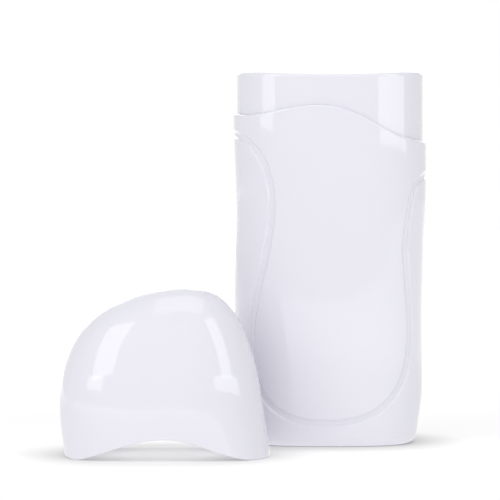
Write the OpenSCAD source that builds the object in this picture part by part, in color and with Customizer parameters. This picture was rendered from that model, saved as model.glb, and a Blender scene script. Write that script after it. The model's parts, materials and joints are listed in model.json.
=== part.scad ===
// Roll-on wax warmer: an oval body with a heated well, and its dome cap taken off beside it.
// Millimetres. X runs across the front, Y to the rear, Z up. The origin is the centre of the base.

/* [Body] */
// Width across the shoulders of the body
body_w = 70; // [60:0.5:84]
// Depth of the body from front to rear
body_d = 50; // [44:0.5:60]
// Height of the body to the ends of the neck rim
body_h = 134.7; // [124:0.1:162]
// Squareness of the oval section: 2 is an ellipse, more is squarer
section_power = 2.7; // [2.4:0.1:3.2]
// Thickness of the housing walls
wall = 2.2; // [1.8:0.1:2.6]
// Radius of the rounded edge round the base
base_r = 3.2; // [2:0.1:3.8]
// Gap of the seam between the two halves
seam_gap = 0.1; // [0.05:0.05:0.3]

/* [Neck] */
// Step from the body's surface in to the neck
neck_step = 1.2; // [1:0.05:1.6]
// Thickness of the neck's wall
neck_wall = 2; // [1.6:0.1:2.4]
// How far the rim dips in the middle of the front and rear
rim_sag = 1.6; // [0:0.1:2.5]
// Radius of the rim's rounded edge
rim_r = 0.8; // [0.4:0.1:0.9]
// Length of the neck sleeve
sleeve_len = 30.5; // [29:0.5:36]
// Depth of the deck below the ends of the rim
deck_drop = 7.2; // [5:0.1:9]
// Thickness of the deck
deck_t = 2.4; // [2:0.1:3]

/* [Grip groove] */
// Width of the groove at the surface
groove_w = 2.5; // [1.6:0.1:3.2]
// Width of the groove's floor
groove_floor_w = 1.3; // [0.8:0.1:1.8]
// Depth of the groove
groove_depth = 0.6; // [0.3:0.05:0.9]

/* [Cap] */
// Height of the cap's top above the ends of the rim when closed
cap_rise = 37.7; // [30:0.1:50]
// How far the dome's top sits to the right of the middle
cap_top_x = 6.5; // [0:0.5:10]
// Thickness of the dome
cap_wall = 1.8; // [1.4:0.1:2.4]
// Clearance between the cap and the neck
cap_clearance = 0.15; // [0.1:0.05:0.3]
// Gap between the cap's edge and the body's lip when closed
cap_gap = 0.4; // [0.2:0.1:0.8]
// How far the standing cap reaches in front of the body's left side
cap_lap_x = 11.5; // [-10:0.5:13]
// How far the standing cap reaches back beside the body's front
cap_lap_y = 4; // [-20:0.5:6]

/* [Well] */
// Space between the neck's inner wall and the well
well_margin = 3.6; // [3.4:0.1:4.5]
// Thickness of the well's aluminium
well_wall = 1.2; // [1:0.1:1.6]
// Outer radius of the well's upright corners
well_r = 12.2; // [10:0.1:13]
// Height of the underside of the well
well_z = 34.8; // [34.5:0.1:38]

/* [Heater] */
// Width of the heater ceramics
ptc_w = 20; // [14:1:21]
// Height of each heater ceramic
ptc_h = 18; // [12:1:19]
// Thickness of the heater ceramics
ptc_t = 2; // [1.6:0.1:2.1]
// Thickness of the contact plates
plate_t = 0.3; // [0.2:0.05:0.35]
// Thickness of the insulating films
film_t = 0.2; // [0.1:0.05:0.25]

/* [Level window] */
// Width of the window
window_w = 9; // [7:0.5:11]
// Height of the window
window_h = 46; // [30:1:48]

/* [Switch] */
// Height of the switch's front frame
switch_h = 15; // [14.8:0.1:15.6]
// Width of the switch's front frame
switch_w = 11.2; // [11:0.1:13]
// Height of the middle of the switch
switch_z = 26.4; // [26.2:0.1:26.6]
// Travel of the rocker in degrees
rocker_travel = 20; // [12:1:24]
// Radius of the rocker's pivot pins
pivot_r = 1; // [0.8:0.1:1.2]

/* [Inlet] */
// Width of the inlet's flange
inlet_w = 22; // [21:0.5:24]
// Height of the inlet's flange
inlet_h = 12.6; // [12:0.1:13]
// Height of the middle of the inlet
inlet_z = 11.7; // [11.5:0.1:11.9]
// Distance between the two pins
pin_pitch = 8.6; // [8.2:0.1:9]
// Radius of the pins
pin_r = 1.2; // [1:0.1:1.3]

/* [Fasteners] */
// Radius of the base screws' shanks
screw_r = 1.1; // [0.9:0.1:1.3]
// Radius of the wires inside the body
wire_r = 0.8; // [0.6:0.05:0.9]

/* [Hidden] */

white_abs = [0.91, 0.91, 0.95];
aluminium = [0.78, 0.79, 0.80];
steel = [0.62, 0.63, 0.65];
brass = [0.80, 0.66, 0.36];

// Gap where one piece seats on another, overshoot of a cut, and overlap of joined solids.
fit = 0.05;
cut = 1;
joint = 0.01;

// Points round each section, and the neck's and the well's half sizes.
around = 48;
neck_a = body_w / 2 - neck_step;
neck_b = body_d / 2 - neck_step;
neck_in_a = neck_a - neck_wall;
neck_in_b = neck_b - neck_wall;
well_a = neck_in_a - well_margin;
well_b = neck_in_b - well_margin;
deck_z = body_h - deck_drop;
sleeve_z = body_h - sleeve_len;

// Shape of the body: inset from the full half size, in mm, at shares of the height.
left_inset = [
    [0, 3.7], [0.09, 1.8], [0.21, 0.5], [0.37, 0], [0.49, 0.4],
    [0.61, 1.1], [0.73, 0.6], [0.83, 0], [0.92, -0.2], [1.1, -0.2]
];
right_inset = [
    [0, 3.8], [0.06, 2.6], [0.15, 1.2], [0.37, 1.1], [0.53, 0.8],
    [0.62, 0.3], [0.7, 0], [1.1, 0]
];
depth_inset = [[0, 2.4], [0.08, 0.8], [0.2, 0.15], [0.35, 0], [1.1, 0]];

// Wavy lip: drop below the rim, in mm, at shares of the half width from left to right.
lip_drop = [
    [-1, 15.1], [-0.83, 16], [-0.4, 13.4], [-0.17, 12.6], [0.06, 13.3],
    [0.29, 16.1], [0.51, 20.2], [0.74, 23.8], [1, 25.6]
];

// Middle of the grip groove: share of the half width and share of the height,
// from the left seam, down and round the foot, and up to the right seam.
groove_path = [
    [-1, 0.839], [-0.9, 0.823], [-0.766, 0.788], [-0.663, 0.732], [-0.623, 0.642],
    [-0.669, 0.509], [-0.766, 0.386], [-0.811, 0.267], [-0.76, 0.162], [-0.543, 0.094],
    [0, 0.067], [0.529, 0.105], [0.766, 0.195], [0.826, 0.312], [0.789, 0.448],
    [0.766, 0.535], [0.806, 0.65], [0.891, 0.706], [1, 0.733]
];

// Signed power, which keeps the sign of its base.
function spow(v, p) = sign(v) * pow(abs(v), p);

// Smooth curve through points given as [position, value], and the segment and slope it needs.
function segment(pts, x, i = 0) =
    (i >= len(pts) - 2 || x < pts[i + 1][0]) ? i : segment(pts, x, i + 1);
function slope(pts, i) =
    let (a = max(i - 1, 0), b = min(i + 1, len(pts) - 1))
    (pts[b][1] - pts[a][1]) / (pts[b][0] - pts[a][0]);
function curve(pts, v) =
    let (
        x = max(pts[0][0], min(v, pts[len(pts) - 1][0])),
        i = segment(pts, x),
        h = pts[i + 1][0] - pts[i][0],
        t = (x - pts[i][0]) / h
    )
    (2 * t^3 - 3 * t^2 + 1) * pts[i][1] + (t^3 - 2 * t^2 + t) * h * slope(pts, i)
    + (3 * t^2 - 2 * t^3) * pts[i + 1][1] + (t^3 - t^2) * h * slope(pts, i + 1);

// Smooth path through points in any number of dimensions, t counting the points.
function path_at(p, t) =
    let (
        n = len(p),
        i = min(floor(t), n - 2),
        f = t - i,
        a = p[max(i - 1, 0)],
        b = p[i],
        c = p[i + 1],
        d = p[min(i + 2, n - 1)]
    )
    0.5 * (2 * b + (c - a) * f + (2 * a - 5 * b + 4 * c - d) * f^2
        + (3 * b - a - 3 * c + d) * f^3);
function smooth_path(p, steps) =
    [for (i = [0 : (len(p) - 1) * steps]) path_at(p, i / steps)];

// Half sizes of the body at height z, and how far the base's rounding pulls them in.
function base_inset(z) = z < base_r ? base_r - sqrt(base_r^2 - (base_r - max(z, 0))^2) : 0;
function left_x(z) = curve(left_inset, z / body_h) - body_w / 2;
function right_x(z) = body_w / 2 - curve(right_inset, z / body_h);
function half_depth(z) = body_d / 2 - curve(depth_inset, z / body_h);

// Point on an oval that reaches from l to r in X and to b in Y, at the angle u.
function oval(l, r, b, u) = [
    (l + r) / 2 + (r - l) / 2 * spow(cos(u), 2 / section_power),
    b * spow(sin(u), 2 / section_power)
];
function oval_ring(l, r, b, z) =
    [for (i = [0 : around - 1]) let (p = oval(l, r, b, 360 * i / around)) [p.x, p.y, z]];
function body_ring(z, inset) =
    let (e = inset + (inset > 0 ? 0 : base_inset(z)))
    oval_ring(left_x(z) + e, right_x(z) - e, half_depth(z) - e, z);

// Heights of the lip, of the cap's edge and of the rim above a point across the width.
function lip_z(x) = body_h - curve(lip_drop, 2 * x / body_w);
function edge_z(x) = lip_z(x) + cap_gap;
function rim_z(x) = body_h - rim_sag * (1 - min(1, (x / neck_a)^2));

// Solid from a list of rings with equally many points, closed by flat ends.
module loft(rings) {
    n = len(rings[0]);
    m = len(rings);
    polyhedron(
        points = [for (ring = rings) each ring],
        faces = concat(
            [[for (i = [0 : n - 1]) i]],
            [for (k = [0 : m - 2], i = [0 : n - 1], s = [0, 1])
                let (a = k * n + i, b = k * n + (i + 1) % n)
                s == 0 ? [a, a + n, b + n] : [a, b + n, b]],
            [concat([(m - 1) * n], [for (i = [n - 1 : -1 : 1]) (m - 1) * n + i])]
        )
    );
}

// Closed tube from rings that run up the outside and down the inside, joined at the foot.
module tube(rings) {
    n = len(rings[0]);
    m = len(rings);
    polyhedron(
        points = [for (ring = rings) each ring],
        faces = [for (k = [0 : m - 1], i = [0 : n - 1], s = [0, 1])
            let (up = ((k + 1) % m) * n, a = k * n + i, b = k * n + (i + 1) % n)
            s == 0 ? [a, up + i, up + (i + 1) % n] : [a, up + (i + 1) % n, b]]
    );
}

// Flat plate with an oval outline.
module oval_plate(a, b, z, t) {
    translate([0, 0, z])
        linear_extrude(height = t)
            polygon([for (i = [0 : around - 1]) oval(-a, a, b, 360 * i / around)]);
}

// Flat plate with straight sides and round corners of radius r.
module round_plate(a, b, r, z, t) {
    translate([0, 0, z]) {
        linear_extrude(height = t) {
            square([2 * a, 2 * (b - r)], center = true);
            square([2 * (a - r), 2 * b], center = true);
            for (x = [r - a, a - r], y = [r - b, b - r])
                translate([x, y])
                    circle(r = r, $fn = 64);
        }
    }
}

// Cylinder along Y, from y to y + len.
module rod_y(x, y, z, r, len, fn = 32) {
    translate([x, y, z])
        rotate([-90, 0, 0])
            cylinder(r = r, h = len, $fn = fn);
}

// Upright slot through Y with round ends.
module slot_y(w, h, y, len, z) {
    translate([-w / 2, y, z - h / 2 + w / 2])
        cube([w, len, h - w]);
    for (s = [-1, 1])
        rod_y(0, y, z + s * (h - w) / 2, w / 2, len);
}

// Profile in Y and Z, as wide as w and centred on x.
module strip_x(x, w, points) {
    translate([x - w / 2, 0, 0])
        rotate([90, 0, 90])
            linear_extrude(height = w)
                polygon(points);
}

// Pan-head screw with its tip at the origin, pointing down, and a cross in its head.
module screw(shank_r, len, head_r, head_h) {
    slot_len = 1.2 * head_r;
    slot_w = 0.3 * head_r;
    cylinder(r = shank_r, h = len + joint, $fn = 32);
    difference() {
        translate([0, 0, len])
            cylinder(r = head_r, h = head_h, $fn = 48);
        for (a = [0, 90])
            translate([0, 0, len + head_h])
                rotate([0, 0, a])
                    cube([slot_len, slot_w, head_h], center = true);
    }
}

// Everything below the wavy lip.
module below_lip() {
    steps = 48;
    w = body_w / 2 + 2;
    rotate([90, 0, 0])
        linear_extrude(height = 2 * body_d, center = true)
            polygon(concat(
                [[-w, -cut], [w, -cut]],
                [for (i = [0 : steps]) let (x = w - 2 * w * i / steps) [x, lip_z(x)]]
            ));
}

// Heights of the sections, closest together near the foot, where the outline turns most.
section_levels = [
    base_r, 9, 15, 22, 30, 39, 48, 58, 68, 78, 88, 98, 108, 118, 128, 138, 148
];

// Solid of the body's outside, or set in from it, between two heights.
module body_solid(inset, z0, z1) {
    foot_arc = [for (a = [0 : 22.5 : 67.5]) base_r * (1 - cos(a))];
    levels = concat(
        z0 < base_r && inset == 0 ? foot_arc : [z0],
        [for (z = section_levels) if (z > z0 + cut && z < z1 - cut) z],
        [z1]
    );
    loft([for (z = levels) body_ring(z, inset)]);
}

// Point of the front surface for an angle and a height, and the direction square to it.
function skin(u, z) =
    let (p = oval(left_x(z), right_x(z), half_depth(z), u)) [p.x, p.y, z];
function unit(v) = v / norm(v);
function skin_normal(u, z) = unit(cross(skin(u + 1, z) - skin(u - 1, z), [0, 0, 1]));
function angle_of(share) =
    let (a = acos(pow(abs(share), section_power / 2)))
    share < 0 ? 180 + a : 360 - a;

// Cutter of the grip groove on the front: a channel swept along the skin.
module groove_cutter() {
    span = 3;
    ends = 5;
    path = smooth_path([for (p = groove_path) [angle_of(p.x), p.y * body_h]], span);
    // The seam lies inside the first and the last stretch, with no ring of its own.
    line = concat(
        [[180 - ends, path[0].y]],
        [for (i = [1 : len(path) - 2]) path[i]],
        [[360 + ends, path[len(path) - 1].y]]
    );
    high = 0.8;
    top_w = groove_floor_w + (groove_w - groove_floor_w) * (groove_depth + high) / groove_depth;
    section = [
        [-groove_floor_w / 2, -groove_depth], [groove_floor_w / 2, -groove_depth],
        [top_w / 2, high], [-top_w / 2, high]
    ];
    last = len(line) - 1;
    loft([
        for (i = [0 : last])
            let (
                p = skin(line[i].x, line[i].y),
                a = line[max(i - 1, 0)],
                b = line[min(i + 1, last)],
                along = unit(skin(b.x, b.y) - skin(a.x, a.y)),
                out = skin_normal(line[i].x, line[i].y),
                side = unit(cross(out, along))
            )
            [for (q = section) p + q.x * side + q.y * out]
    ]);
}

// Base plate, the ledge over it and the screw bosses.
base_t = 2.4;
plate_a = body_w / 2 - 8.5;
plate_b = body_d / 2 - 7.8;
plate_gap = 0.15;
ledge_w = 2.5;
ledge_t = 1.4;
boss_x = plate_a - 7;
boss_y = plate_b - 7.7;
boss_r = 3;
boss_top = 13;
base_screw_len = 6.5;
base_head_h = 1.2;
base_head_r = 2.4;
head_gap = 0.2;
base_head_z = base_head_h + 0.1;
// How much wider a passing hole is than the screw in it.
hole_play = 0.3;
// How much thinner a screw's shank is than its pilot hole.
thread_fit = 0.02;

// Ribs that centre the well (fins) and stop it from sinking (shelves).
fin_x = well_a - 9.4;
fin_y = 8;
fin_gap = 0.45;
shelf_x = well_a - 7.2;
shelf_y = well_b - 6;
shelf_gap = 0.35;
rib_r = 0.7;

// Panel pieces in the rear face: flat seats for the switch and the inlet, lens and window.
panel_gap = 0.15;
switch_seat = body_d / 2 - 0.6;
inlet_seat = body_d / 2 - 1.5;
case_a = switch_w / 2 - 0.5;
case_h = switch_h - 1.7;
barrel_a = 9.2;
barrel_b = 4.9;
lens_r = 1.5;
lens_gap = 0.1;
lens_x = body_w / 2 - 15.5;
lens_z = switch_z + 1.6;
window_z = (well_z + sleeve_z) / 2 + 4.5;
window_lip = 1.8;
pane_t = 1;
pane_sink = 0.15;

// Cuts through the rear wall start this far inside the rear of the body.
panel_in = body_d / 2 - 6;
panel_cut = 12;
deep_in = body_d / 2 - 12;
deep_cut = 14;

// Board for the indicator, held on two bosses of the rear shell.
board_w = 14;
board_h = 14;
board_t = 1.2;
board_x = lens_x;
board_z = 17;
// The lamp stack is the depth from the inside of the wall to the board's front.
lamp_stack = 8.9;
board_y = skin_y(lens_x, lens_z, wall) - lamp_stack;
board_boss_z = board_z + 3;
board_boss_dx = 4.6;
board_boss_r = 1.9;
board_pilot_r = 0.75;
board_screw_len = 5.2;

// Where the skin lies in Y at a place across the width, and in X at a place in depth.
function skin_y(x, z, inset) =
    (half_depth(z) - inset)
    * pow(1 - pow(abs(x) / (body_w / 2 - inset), section_power), 1 / section_power);
function skin_x(side, y, z, inset) =
    side * ((side < 0 ? -left_x(z) : right_x(z)) - inset)
    * pow(1 - pow(abs(y) / (half_depth(z) - inset), section_power), 1 / section_power);

// Upright rib with round edges, between two places in plan.
module rib(from, to, z, h) {
    hull() {
        translate([from.x, from.y, z])
            cylinder(r = rib_r, h = h, $fn = 12);
        translate([to.x, to.y, z])
            cylinder(r = rib_r, h = h, $fn = 12);
    }
}

// Front half of the housing's wall: skin, lip, groove, neck pocket and foot.
module half_skin() {
    ledge_z = base_t + ledge_t;
    difference() {
        intersection() {
            body_solid(0, 0, body_h - 8);
            below_lip();
        }
        body_solid(wall, ledge_z, sleeve_z);
        oval_plate(neck_a + fit, neck_b + fit, sleeve_z, sleeve_len);
        oval_plate(plate_a - ledge_w, plate_b - ledge_w, 0, ledge_z + cut);
        oval_plate(plate_a + plate_gap, plate_b + plate_gap, -cut, base_t + fit + cut);
        groove_cutter();
        translate([-body_w, -seam_gap / 2, -cut])
            cube([2 * body_w, body_d, body_h]);
    }
}

// Front half of the housing with its ribs and screw bosses.
module half_shell() {
    boss_z = base_t + fit;
    fin_z = well_z + 4;
    fin_h = sleeve_z - fin_z;
    shelf_h = 3;
    gusset_h = 7;
    shelf_z = well_z - shelf_gap - shelf_h;
    mid = wall / 2;
    difference() {
        union() {
            half_skin();
            for (s = [-1, 1]) {
                translate([s * boss_x, -boss_y, boss_z])
                    cylinder(r = boss_r, h = boss_top - boss_z, $fn = 32);
                translate([s * boss_x - rib_r, -skin_y(boss_x, boss_z, mid), boss_z])
                    cube([2 * rib_r, skin_y(boss_x, boss_z, mid) - boss_y, gusset_h]);
                rib([s * fin_x, -well_b - fin_gap - rib_r],
                    [s * fin_x, -skin_y(fin_x, sleeve_z, mid)], fin_z, fin_h);
                rib([s * (well_a + fin_gap + rib_r), -fin_y],
                    [skin_x(s, fin_y, fin_z, mid), -fin_y], fin_z, fin_h / 2);
                rib([s * shelf_x, -shelf_y], [s * shelf_x, -skin_y(shelf_x, shelf_z, mid)],
                    shelf_z, shelf_h);
            }
        }
        for (s = [-1, 1])
            translate([s * boss_x, -boss_y, 0])
                cylinder(r = screw_r, h = base_screw_len + base_t, $fn = 24);
    }
}

// Tongue along a side seam that steers the halves together. The left is side -1.
module tongue(side) {
    low = 8;
    high = sleeve_z - 2;
    steps = 12;
    inner = wall + 0.15;
    thick = 1;
    reach = 1.6;
    root = 3;
    bite = 0.3;
    // Section as depth below the skin and distance in front of the seam, from its inner corner.
    section = [
        [inner, 0], [inner, -reach], [inner + thick, -reach],
        [inner + thick, root], [wall - bite, root], [wall - bite, 0]
    ];
    n = len(section);
    loft([
        for (i = [0 : steps])
            let (z = low + (high - low) * i / steps, edge = side < 0 ? -left_x(z) : right_x(z))
            [for (k = [0 : n - 1])
                let (p = section[side > 0 ? k : (n - k) % n])
                [side * (edge - p.x), -seam_gap / 2 - fit - p.y, z]]
    ]);
}

module front_shell() {
    color(white_abs) {
        half_shell();
        for (s = [-1, 1])
            tongue(s);
    }
}

module rear_shell() {
    color(white_abs)
        difference() {
            union() {
                mirror([0, 1, 0])
                    half_shell();
                for (s = [-1, 1])
                    rod_y(board_x + s * board_boss_dx, board_y + board_t + fit, board_boss_z,
                        board_boss_r,
                        skin_y(board_x + s * board_boss_dx, board_boss_z, wall / 2)
                            - board_y - board_t, 24);
            }
            slot_y(window_w, window_h, panel_in, panel_cut, window_z);
            // Switch: flat seat and opening.
            translate([-switch_w / 2 - panel_gap, switch_seat, switch_z - switch_h / 2 - panel_gap])
                cube([switch_w + 2 * panel_gap, panel_cut, switch_h + 2 * panel_gap]);
            translate([-case_a - panel_gap, panel_in, switch_z - case_h / 2 - panel_gap])
                cube([2 * (case_a + panel_gap), panel_cut, case_h + 2 * panel_gap]);
            // Inlet: flat seat and opening.
            upright_plate(inlet_w / 2 + panel_gap, inlet_h / 2 + panel_gap, inlet_r,
                inlet_z, inlet_seat, panel_cut);
            translate([-barrel_a - panel_gap, panel_in, inlet_z - barrel_b - panel_gap])
                cube([2 * (barrel_a + panel_gap), panel_cut, 2 * (barrel_b + panel_gap)]);
            rod_y(lens_x, deep_in, lens_z, lens_r + lens_gap, deep_cut);
            for (s = [-1, 1])
                rod_y(board_x + s * board_boss_dx, board_y, board_boss_z,
                    board_pilot_r, board_screw_len + cut, 16);
        }
}

// Inner collar: dished, rounded rim, and a deck that carries the heated well.
cup_screw_x = (neck_in_a + well_a) / 2 + 0.1;
cup_screw_len = 6;
cup_screw_r = 0.8;
cup_boss_r = 1.7;
cup_boss_h = 4;
deck_gap = 0.5;

module neck_sleeve() {
    steps = 3;
    foot = sleeve_z + fit;
    under = deck_z - deck_t;
    // One ring of the wall, set in from the outside, at a depth below the dished rim.
    function rim_ring(inset, down) = [
        for (p = oval_ring(inset - neck_a, neck_a - inset, neck_b - inset, 0))
            [p.x, p.y, rim_z(p.x) - down]
    ];
    rings = concat(
        [oval_ring(-neck_a, neck_a, neck_b, foot)],
        [for (i = [0 : steps])
            let (a = 90 * i / steps)
            rim_ring(rim_r * (1 - cos(a)), rim_r * (1 - sin(a)))],
        [for (i = [0 : steps])
            let (a = 90 * i / steps)
            rim_ring(neck_wall - rim_r * (1 - sin(a)), rim_r * (1 - cos(a)))],
        [oval_ring(-neck_in_a, neck_in_a, neck_in_b, foot)]
    );
    color(white_abs) {
        tube(rings);
        difference() {
            union() {
                oval_plate(neck_in_a + neck_wall / 2, neck_in_b + neck_wall / 2, under, deck_t);
                intersection() {
                    for (s = [-1, 1])
                        translate([s * cup_screw_x, 0, under - cup_boss_h])
                            cylinder(r = cup_boss_r, h = cup_boss_h + cut, $fn = 32);
                    oval_plate(neck_in_a + neck_wall / 2, neck_in_b, foot, sleeve_len);
                }
            }
            round_plate(well_a + deck_gap, well_b + deck_gap, well_r + deck_gap,
                under - cup_boss_h - cut, cup_boss_h + deck_t + 2 * cut);
            for (s = [-1, 1])
                translate([s * cup_screw_x, 0, deck_z - cup_screw_len])
                    cylinder(r = cup_screw_r, h = cup_screw_len + cut, $fn = 24);
        }
    }
}

// Dome of the cap when closed: half sizes at a share h of the dome's height, set in by e.
closed_h = body_h + cap_rise;
spring_z = body_h - 8.7;
cap_swell = 0.2;
dome_left_power = 2.3;
dome_right_power = 2.75;
dome_depth_power = 2.4;
function quarter(h, p) = pow(max(0, 1 - pow(h, p)), 1 / p);
function dome_ring(h, e) =
    let (
        rise = closed_h - spring_z - e,
        left = cap_top_x + body_w / 2 + cap_swell - e,
        right = body_w / 2 - cap_top_x - e
    )
    oval_ring(
        cap_top_x - left * quarter(h, dome_left_power),
        cap_top_x + right * quarter(h, dome_right_power),
        (body_d / 2 - e) * quarter(h, dome_depth_power),
        spring_z + rise * h
    );

// The cap in its closed place: down the inside, under its wavy edge, and up the outside.
module closed_cap() {
    dome = [0.08, 0.2, 0.34, 0.48, 0.61, 0.72, 0.81, 0.88, 0.935, 0.975, 0.993, 0.999];
    inner_a = neck_a + cap_clearance;
    inner_b = neck_b + cap_clearance;
    // Straight inside the skirt to just above the rim, then the dome from a share of its height.
    neck_top = body_h + 0.9;
    dome_from = 0.3;
    // Ring of the skirt at a share f of the way from the wavy edge up to the height z.
    function skirt_ring(l, r, b, z, f) = [
        for (p = oval_ring(l, r, b, 0))
            [p.x, p.y, edge_z(p.x) + (z - edge_z(p.x)) * f]
    ];
    inside = [for (h = dome) if (h > dome_from) h];
    loft(concat(
        [for (i = [len(inside) - 1 : -1 : 0]) dome_ring(inside[i], cap_wall)],
        [for (f = [1, 0]) skirt_ring(-inner_a, inner_a, inner_b, neck_top, f)],
        [for (f = [0, 0.5]) skirt_ring(-body_w / 2 - cap_swell, body_w / 2, body_d / 2, spring_z, f)],
        [for (h = concat([0], dome)) dome_ring(h, 0)]
    ));
}

// Lean of the cap when it stands on both low stretches of its wavy edge.
function lowest(side, lean) =
    min([for (i = [0 : 60])
        let (x = side * body_w / 2 * i / 60) x * sin(lean) + edge_z(x) * cos(lean)]);
function find_lean(low, high, turns) =
    let (mid = (low + high) / 2)
    turns == 0 ? mid
        : lowest(-1, mid) > lowest(1, mid) ? find_lean(mid, high, turns - 1)
        : find_lean(low, mid, turns - 1);
cap_lean = find_lean(0, 25, 24);
edge_mid = edge_z(0);

module cap() {
    color(white_abs)
        translate([cap_lap_x - body_w, cap_lap_y - body_d,
            edge_mid * cos(cap_lean) - lowest(1, cap_lean)])
            rotate([0, -cap_lean, 0])
                translate([0, 0, -edge_mid])
                    closed_cap();
}

// Bottom cover, flush with the foot of the shells, with a recess for each screw's head.
module base_plate() {
    color(white_abs)
        difference() {
            oval_plate(plate_a, plate_b, 0, base_t);
            for (x = [-boss_x, boss_x], y = [-boss_y, boss_y])
                translate([x, y, -cut]) {
                    cylinder(r = screw_r + hole_play, h = base_t + 2 * cut, $fn = 32);
                    cylinder(r = base_head_r + head_gap, h = cut + base_head_z, $fn = 48);
                }
        }
}

module base_screws() {
    color(steel)
        for (x = [-boss_x, boss_x], y = [-boss_y, boss_y])
            translate([x, y, base_head_z + base_screw_len])
                rotate([180, 0, 0])
                    screw(screw_r - thread_fit, base_screw_len, base_head_r, base_head_h);
}

// Heated well, drawn in one piece from aluminium, with a flange and a slot for the level window.
flange_t = 1.2;
flange_gap = 0.3;
stack_y = -well_b;
stack_z = (well_z + deck_z) / 2 - 6;
clamp_reach = 28.5;
strap_screw_r = 1.1;
strap_head_r = 2;
strap_head_h = 1.3;

module heater_cup() {
    top = deck_z + flange_t;
    color(aluminium)
        difference() {
            union() {
                round_plate(well_a, well_b, well_r, well_z, top - well_z);
                oval_plate(neck_in_a - flange_gap, neck_in_b - flange_gap,
                    deck_z + fit, flange_t - fit);
            }
            round_plate(well_a - well_wall, well_b - well_wall, well_r - well_wall,
                well_z + well_wall, top);
            slot_y(window_w - 1, window_h + 2, well_b - 2 * well_wall, 4 * well_wall, window_z);
            for (s = [-1, 1]) {
                translate([s * cup_screw_x, 0, deck_z - cut])
                    cylinder(r = cup_screw_r + hole_play, h = 2 * cut + flange_t, $fn = 32);
                rod_y(0, -well_b - cut, stack_z + s * clamp_reach, strap_screw_r + fit,
                    well_wall + 2 * cut);
            }
            translate([0, clip_y, well_z - cut])
                cylinder(r = strap_screw_r + fit, h = well_wall + 2 * cut, $fn = 32);
        }
}

module cup_screws() {
    color(steel)
        for (s = [-1, 1])
            translate([s * cup_screw_x, 0, deck_z + flange_t + fit - cup_screw_len])
                screw(cup_screw_r - thread_fit, cup_screw_len, 2 * cup_screw_r, 1.1);
}

// Heater stack on the front of the well, counted outwards in layers.
layer_0 = stack_y - fit;
layer_1 = layer_0 - film_t;
layer_2 = layer_1 - plate_t;
layer_3 = layer_2 - ptc_t;
layer_4 = layer_3 - plate_t;
layer_5 = layer_4 - film_t;
stack_h = 2 * ptc_h + 2;
film_w = ptc_w + 2;

// Upright sheet of the stack, its outer face at y and t thick.
module sheet(w, h, y, t) {
    translate([-w / 2, y, stack_z - h / 2])
        cube([w, t, h]);
}

module insulating_films() {
    color([0.82, 0.60, 0.22]) {
        sheet(film_w, stack_h + 4, layer_1, film_t);
        sheet(film_w, stack_h + 4, layer_5, film_t);
    }
}

tab_w = 3;
tab_h = 7;
tab_x = ptc_w / 2 - tab_w;

// Contact plate with a tab at its foot.
module electrode(y, x) {
    color(brass) {
        sheet(ptc_w, stack_h, y, plate_t);
        translate([x - tab_w / 2, y, stack_z - stack_h / 2 - tab_h])
            cube([tab_w, plate_t, tab_h + joint]);
    }
}

module inner_electrode() electrode(layer_2, -tab_x);

module outer_electrode() electrode(layer_4, tab_x);

module ptc_ceramics() {
    color([0.35, 0.34, 0.33])
        for (s = [-1, 1])
            translate([-ptc_w / 2, layer_3, stack_z + s * (ptc_h / 2 + 0.5) - ptc_h / 2])
                cube([ptc_w, ptc_t, ptc_h]);
}

// Sprung strap over the stack, with a foot at each end.
clamp_t = 0.6;
clamp_w = 8;
module heater_clamp() {
    y0 = stack_y - fit;
    y1 = layer_5;
    bend = stack_h / 2 + 2.8;
    leg = bend + 1.5;
    reach = clamp_reach + 3;
    color(steel)
        difference() {
            strip_x(0, clamp_w, [
                [y0, stack_z - reach], [y0, stack_z - leg], [y1, stack_z - bend],
                [y1, stack_z + bend], [y0, stack_z + leg], [y0, stack_z + reach],
                [y0 - clamp_t, stack_z + reach], [y0 - clamp_t, stack_z + leg + clamp_t / 2],
                [y1 - clamp_t, stack_z + bend + clamp_t / 2],
                [y1 - clamp_t, stack_z - bend - clamp_t / 2],
                [y0 - clamp_t, stack_z - leg - clamp_t / 2], [y0 - clamp_t, stack_z - reach]
            ]);
            for (s = [-1, 1])
                rod_y(0, y0 - clamp_t - cut, stack_z + s * clamp_reach,
                    strap_screw_r + hole_play, clamp_t + 2 * cut);
        }
}

// Screws of the strap and of the thermostat's clip, all alike.
module heater_screws() {
    len = well_wall + clamp_t + fit;
    color(steel) {
        for (s = [-1, 1])
            translate([0, stack_y + well_wall, stack_z + s * clamp_reach])
                rotate([90, 0, 0])
                    screw(strap_screw_r, len, strap_head_r, strap_head_h);
        translate([0, clip_y, well_z + well_wall])
            rotate([180, 0, 0])
                screw(strap_screw_r, len, strap_head_r, strap_head_h);
    }
}

// Cut-out and fuse under the floor of the well.
thermo_w = 20;
thermo_d = 7.5;
thermo_h = 3.6;
clip_y = -2.6;
thermo_y = clip_y - 7;
fuse_y = clip_y + 5.4;
sleeve_r = 2;
sleeve_bore_r = 1.5;
sleeve_w = 18;
fuse_w = 10;
fuse_r = 1.25;
fuse_z = well_z - fit - sleeve_r;
fuse_lead_len = 22;
fuse_lead_r = 0.35;

module thermostat() {
    color([0.20, 0.20, 0.22])
        translate([-thermo_w / 2, thermo_y - thermo_d / 2, well_z - fit - thermo_h])
            cube([thermo_w, thermo_d, thermo_h]);
}

module thermal_fuse() {
    color([0.90, 0.85, 0.70])
        translate([0, fuse_y, fuse_z])
            rotate([0, 90, 0]) {
                cylinder(r = fuse_r, h = fuse_w, center = true, $fn = 32);
                cylinder(r = fuse_lead_r, h = fuse_lead_len, center = true, $fn = 24);
            }
}

module fuse_sleeve() {
    color([0.92, 0.92, 0.88])
        translate([0, fuse_y, fuse_z])
            rotate([0, 90, 0])
                difference() {
                    cylinder(r = sleeve_r, h = sleeve_w, center = true, $fn = 48);
                    cylinder(r = sleeve_bore_r, h = sleeve_w + cut, center = true, $fn = 48);
                }
}

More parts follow.
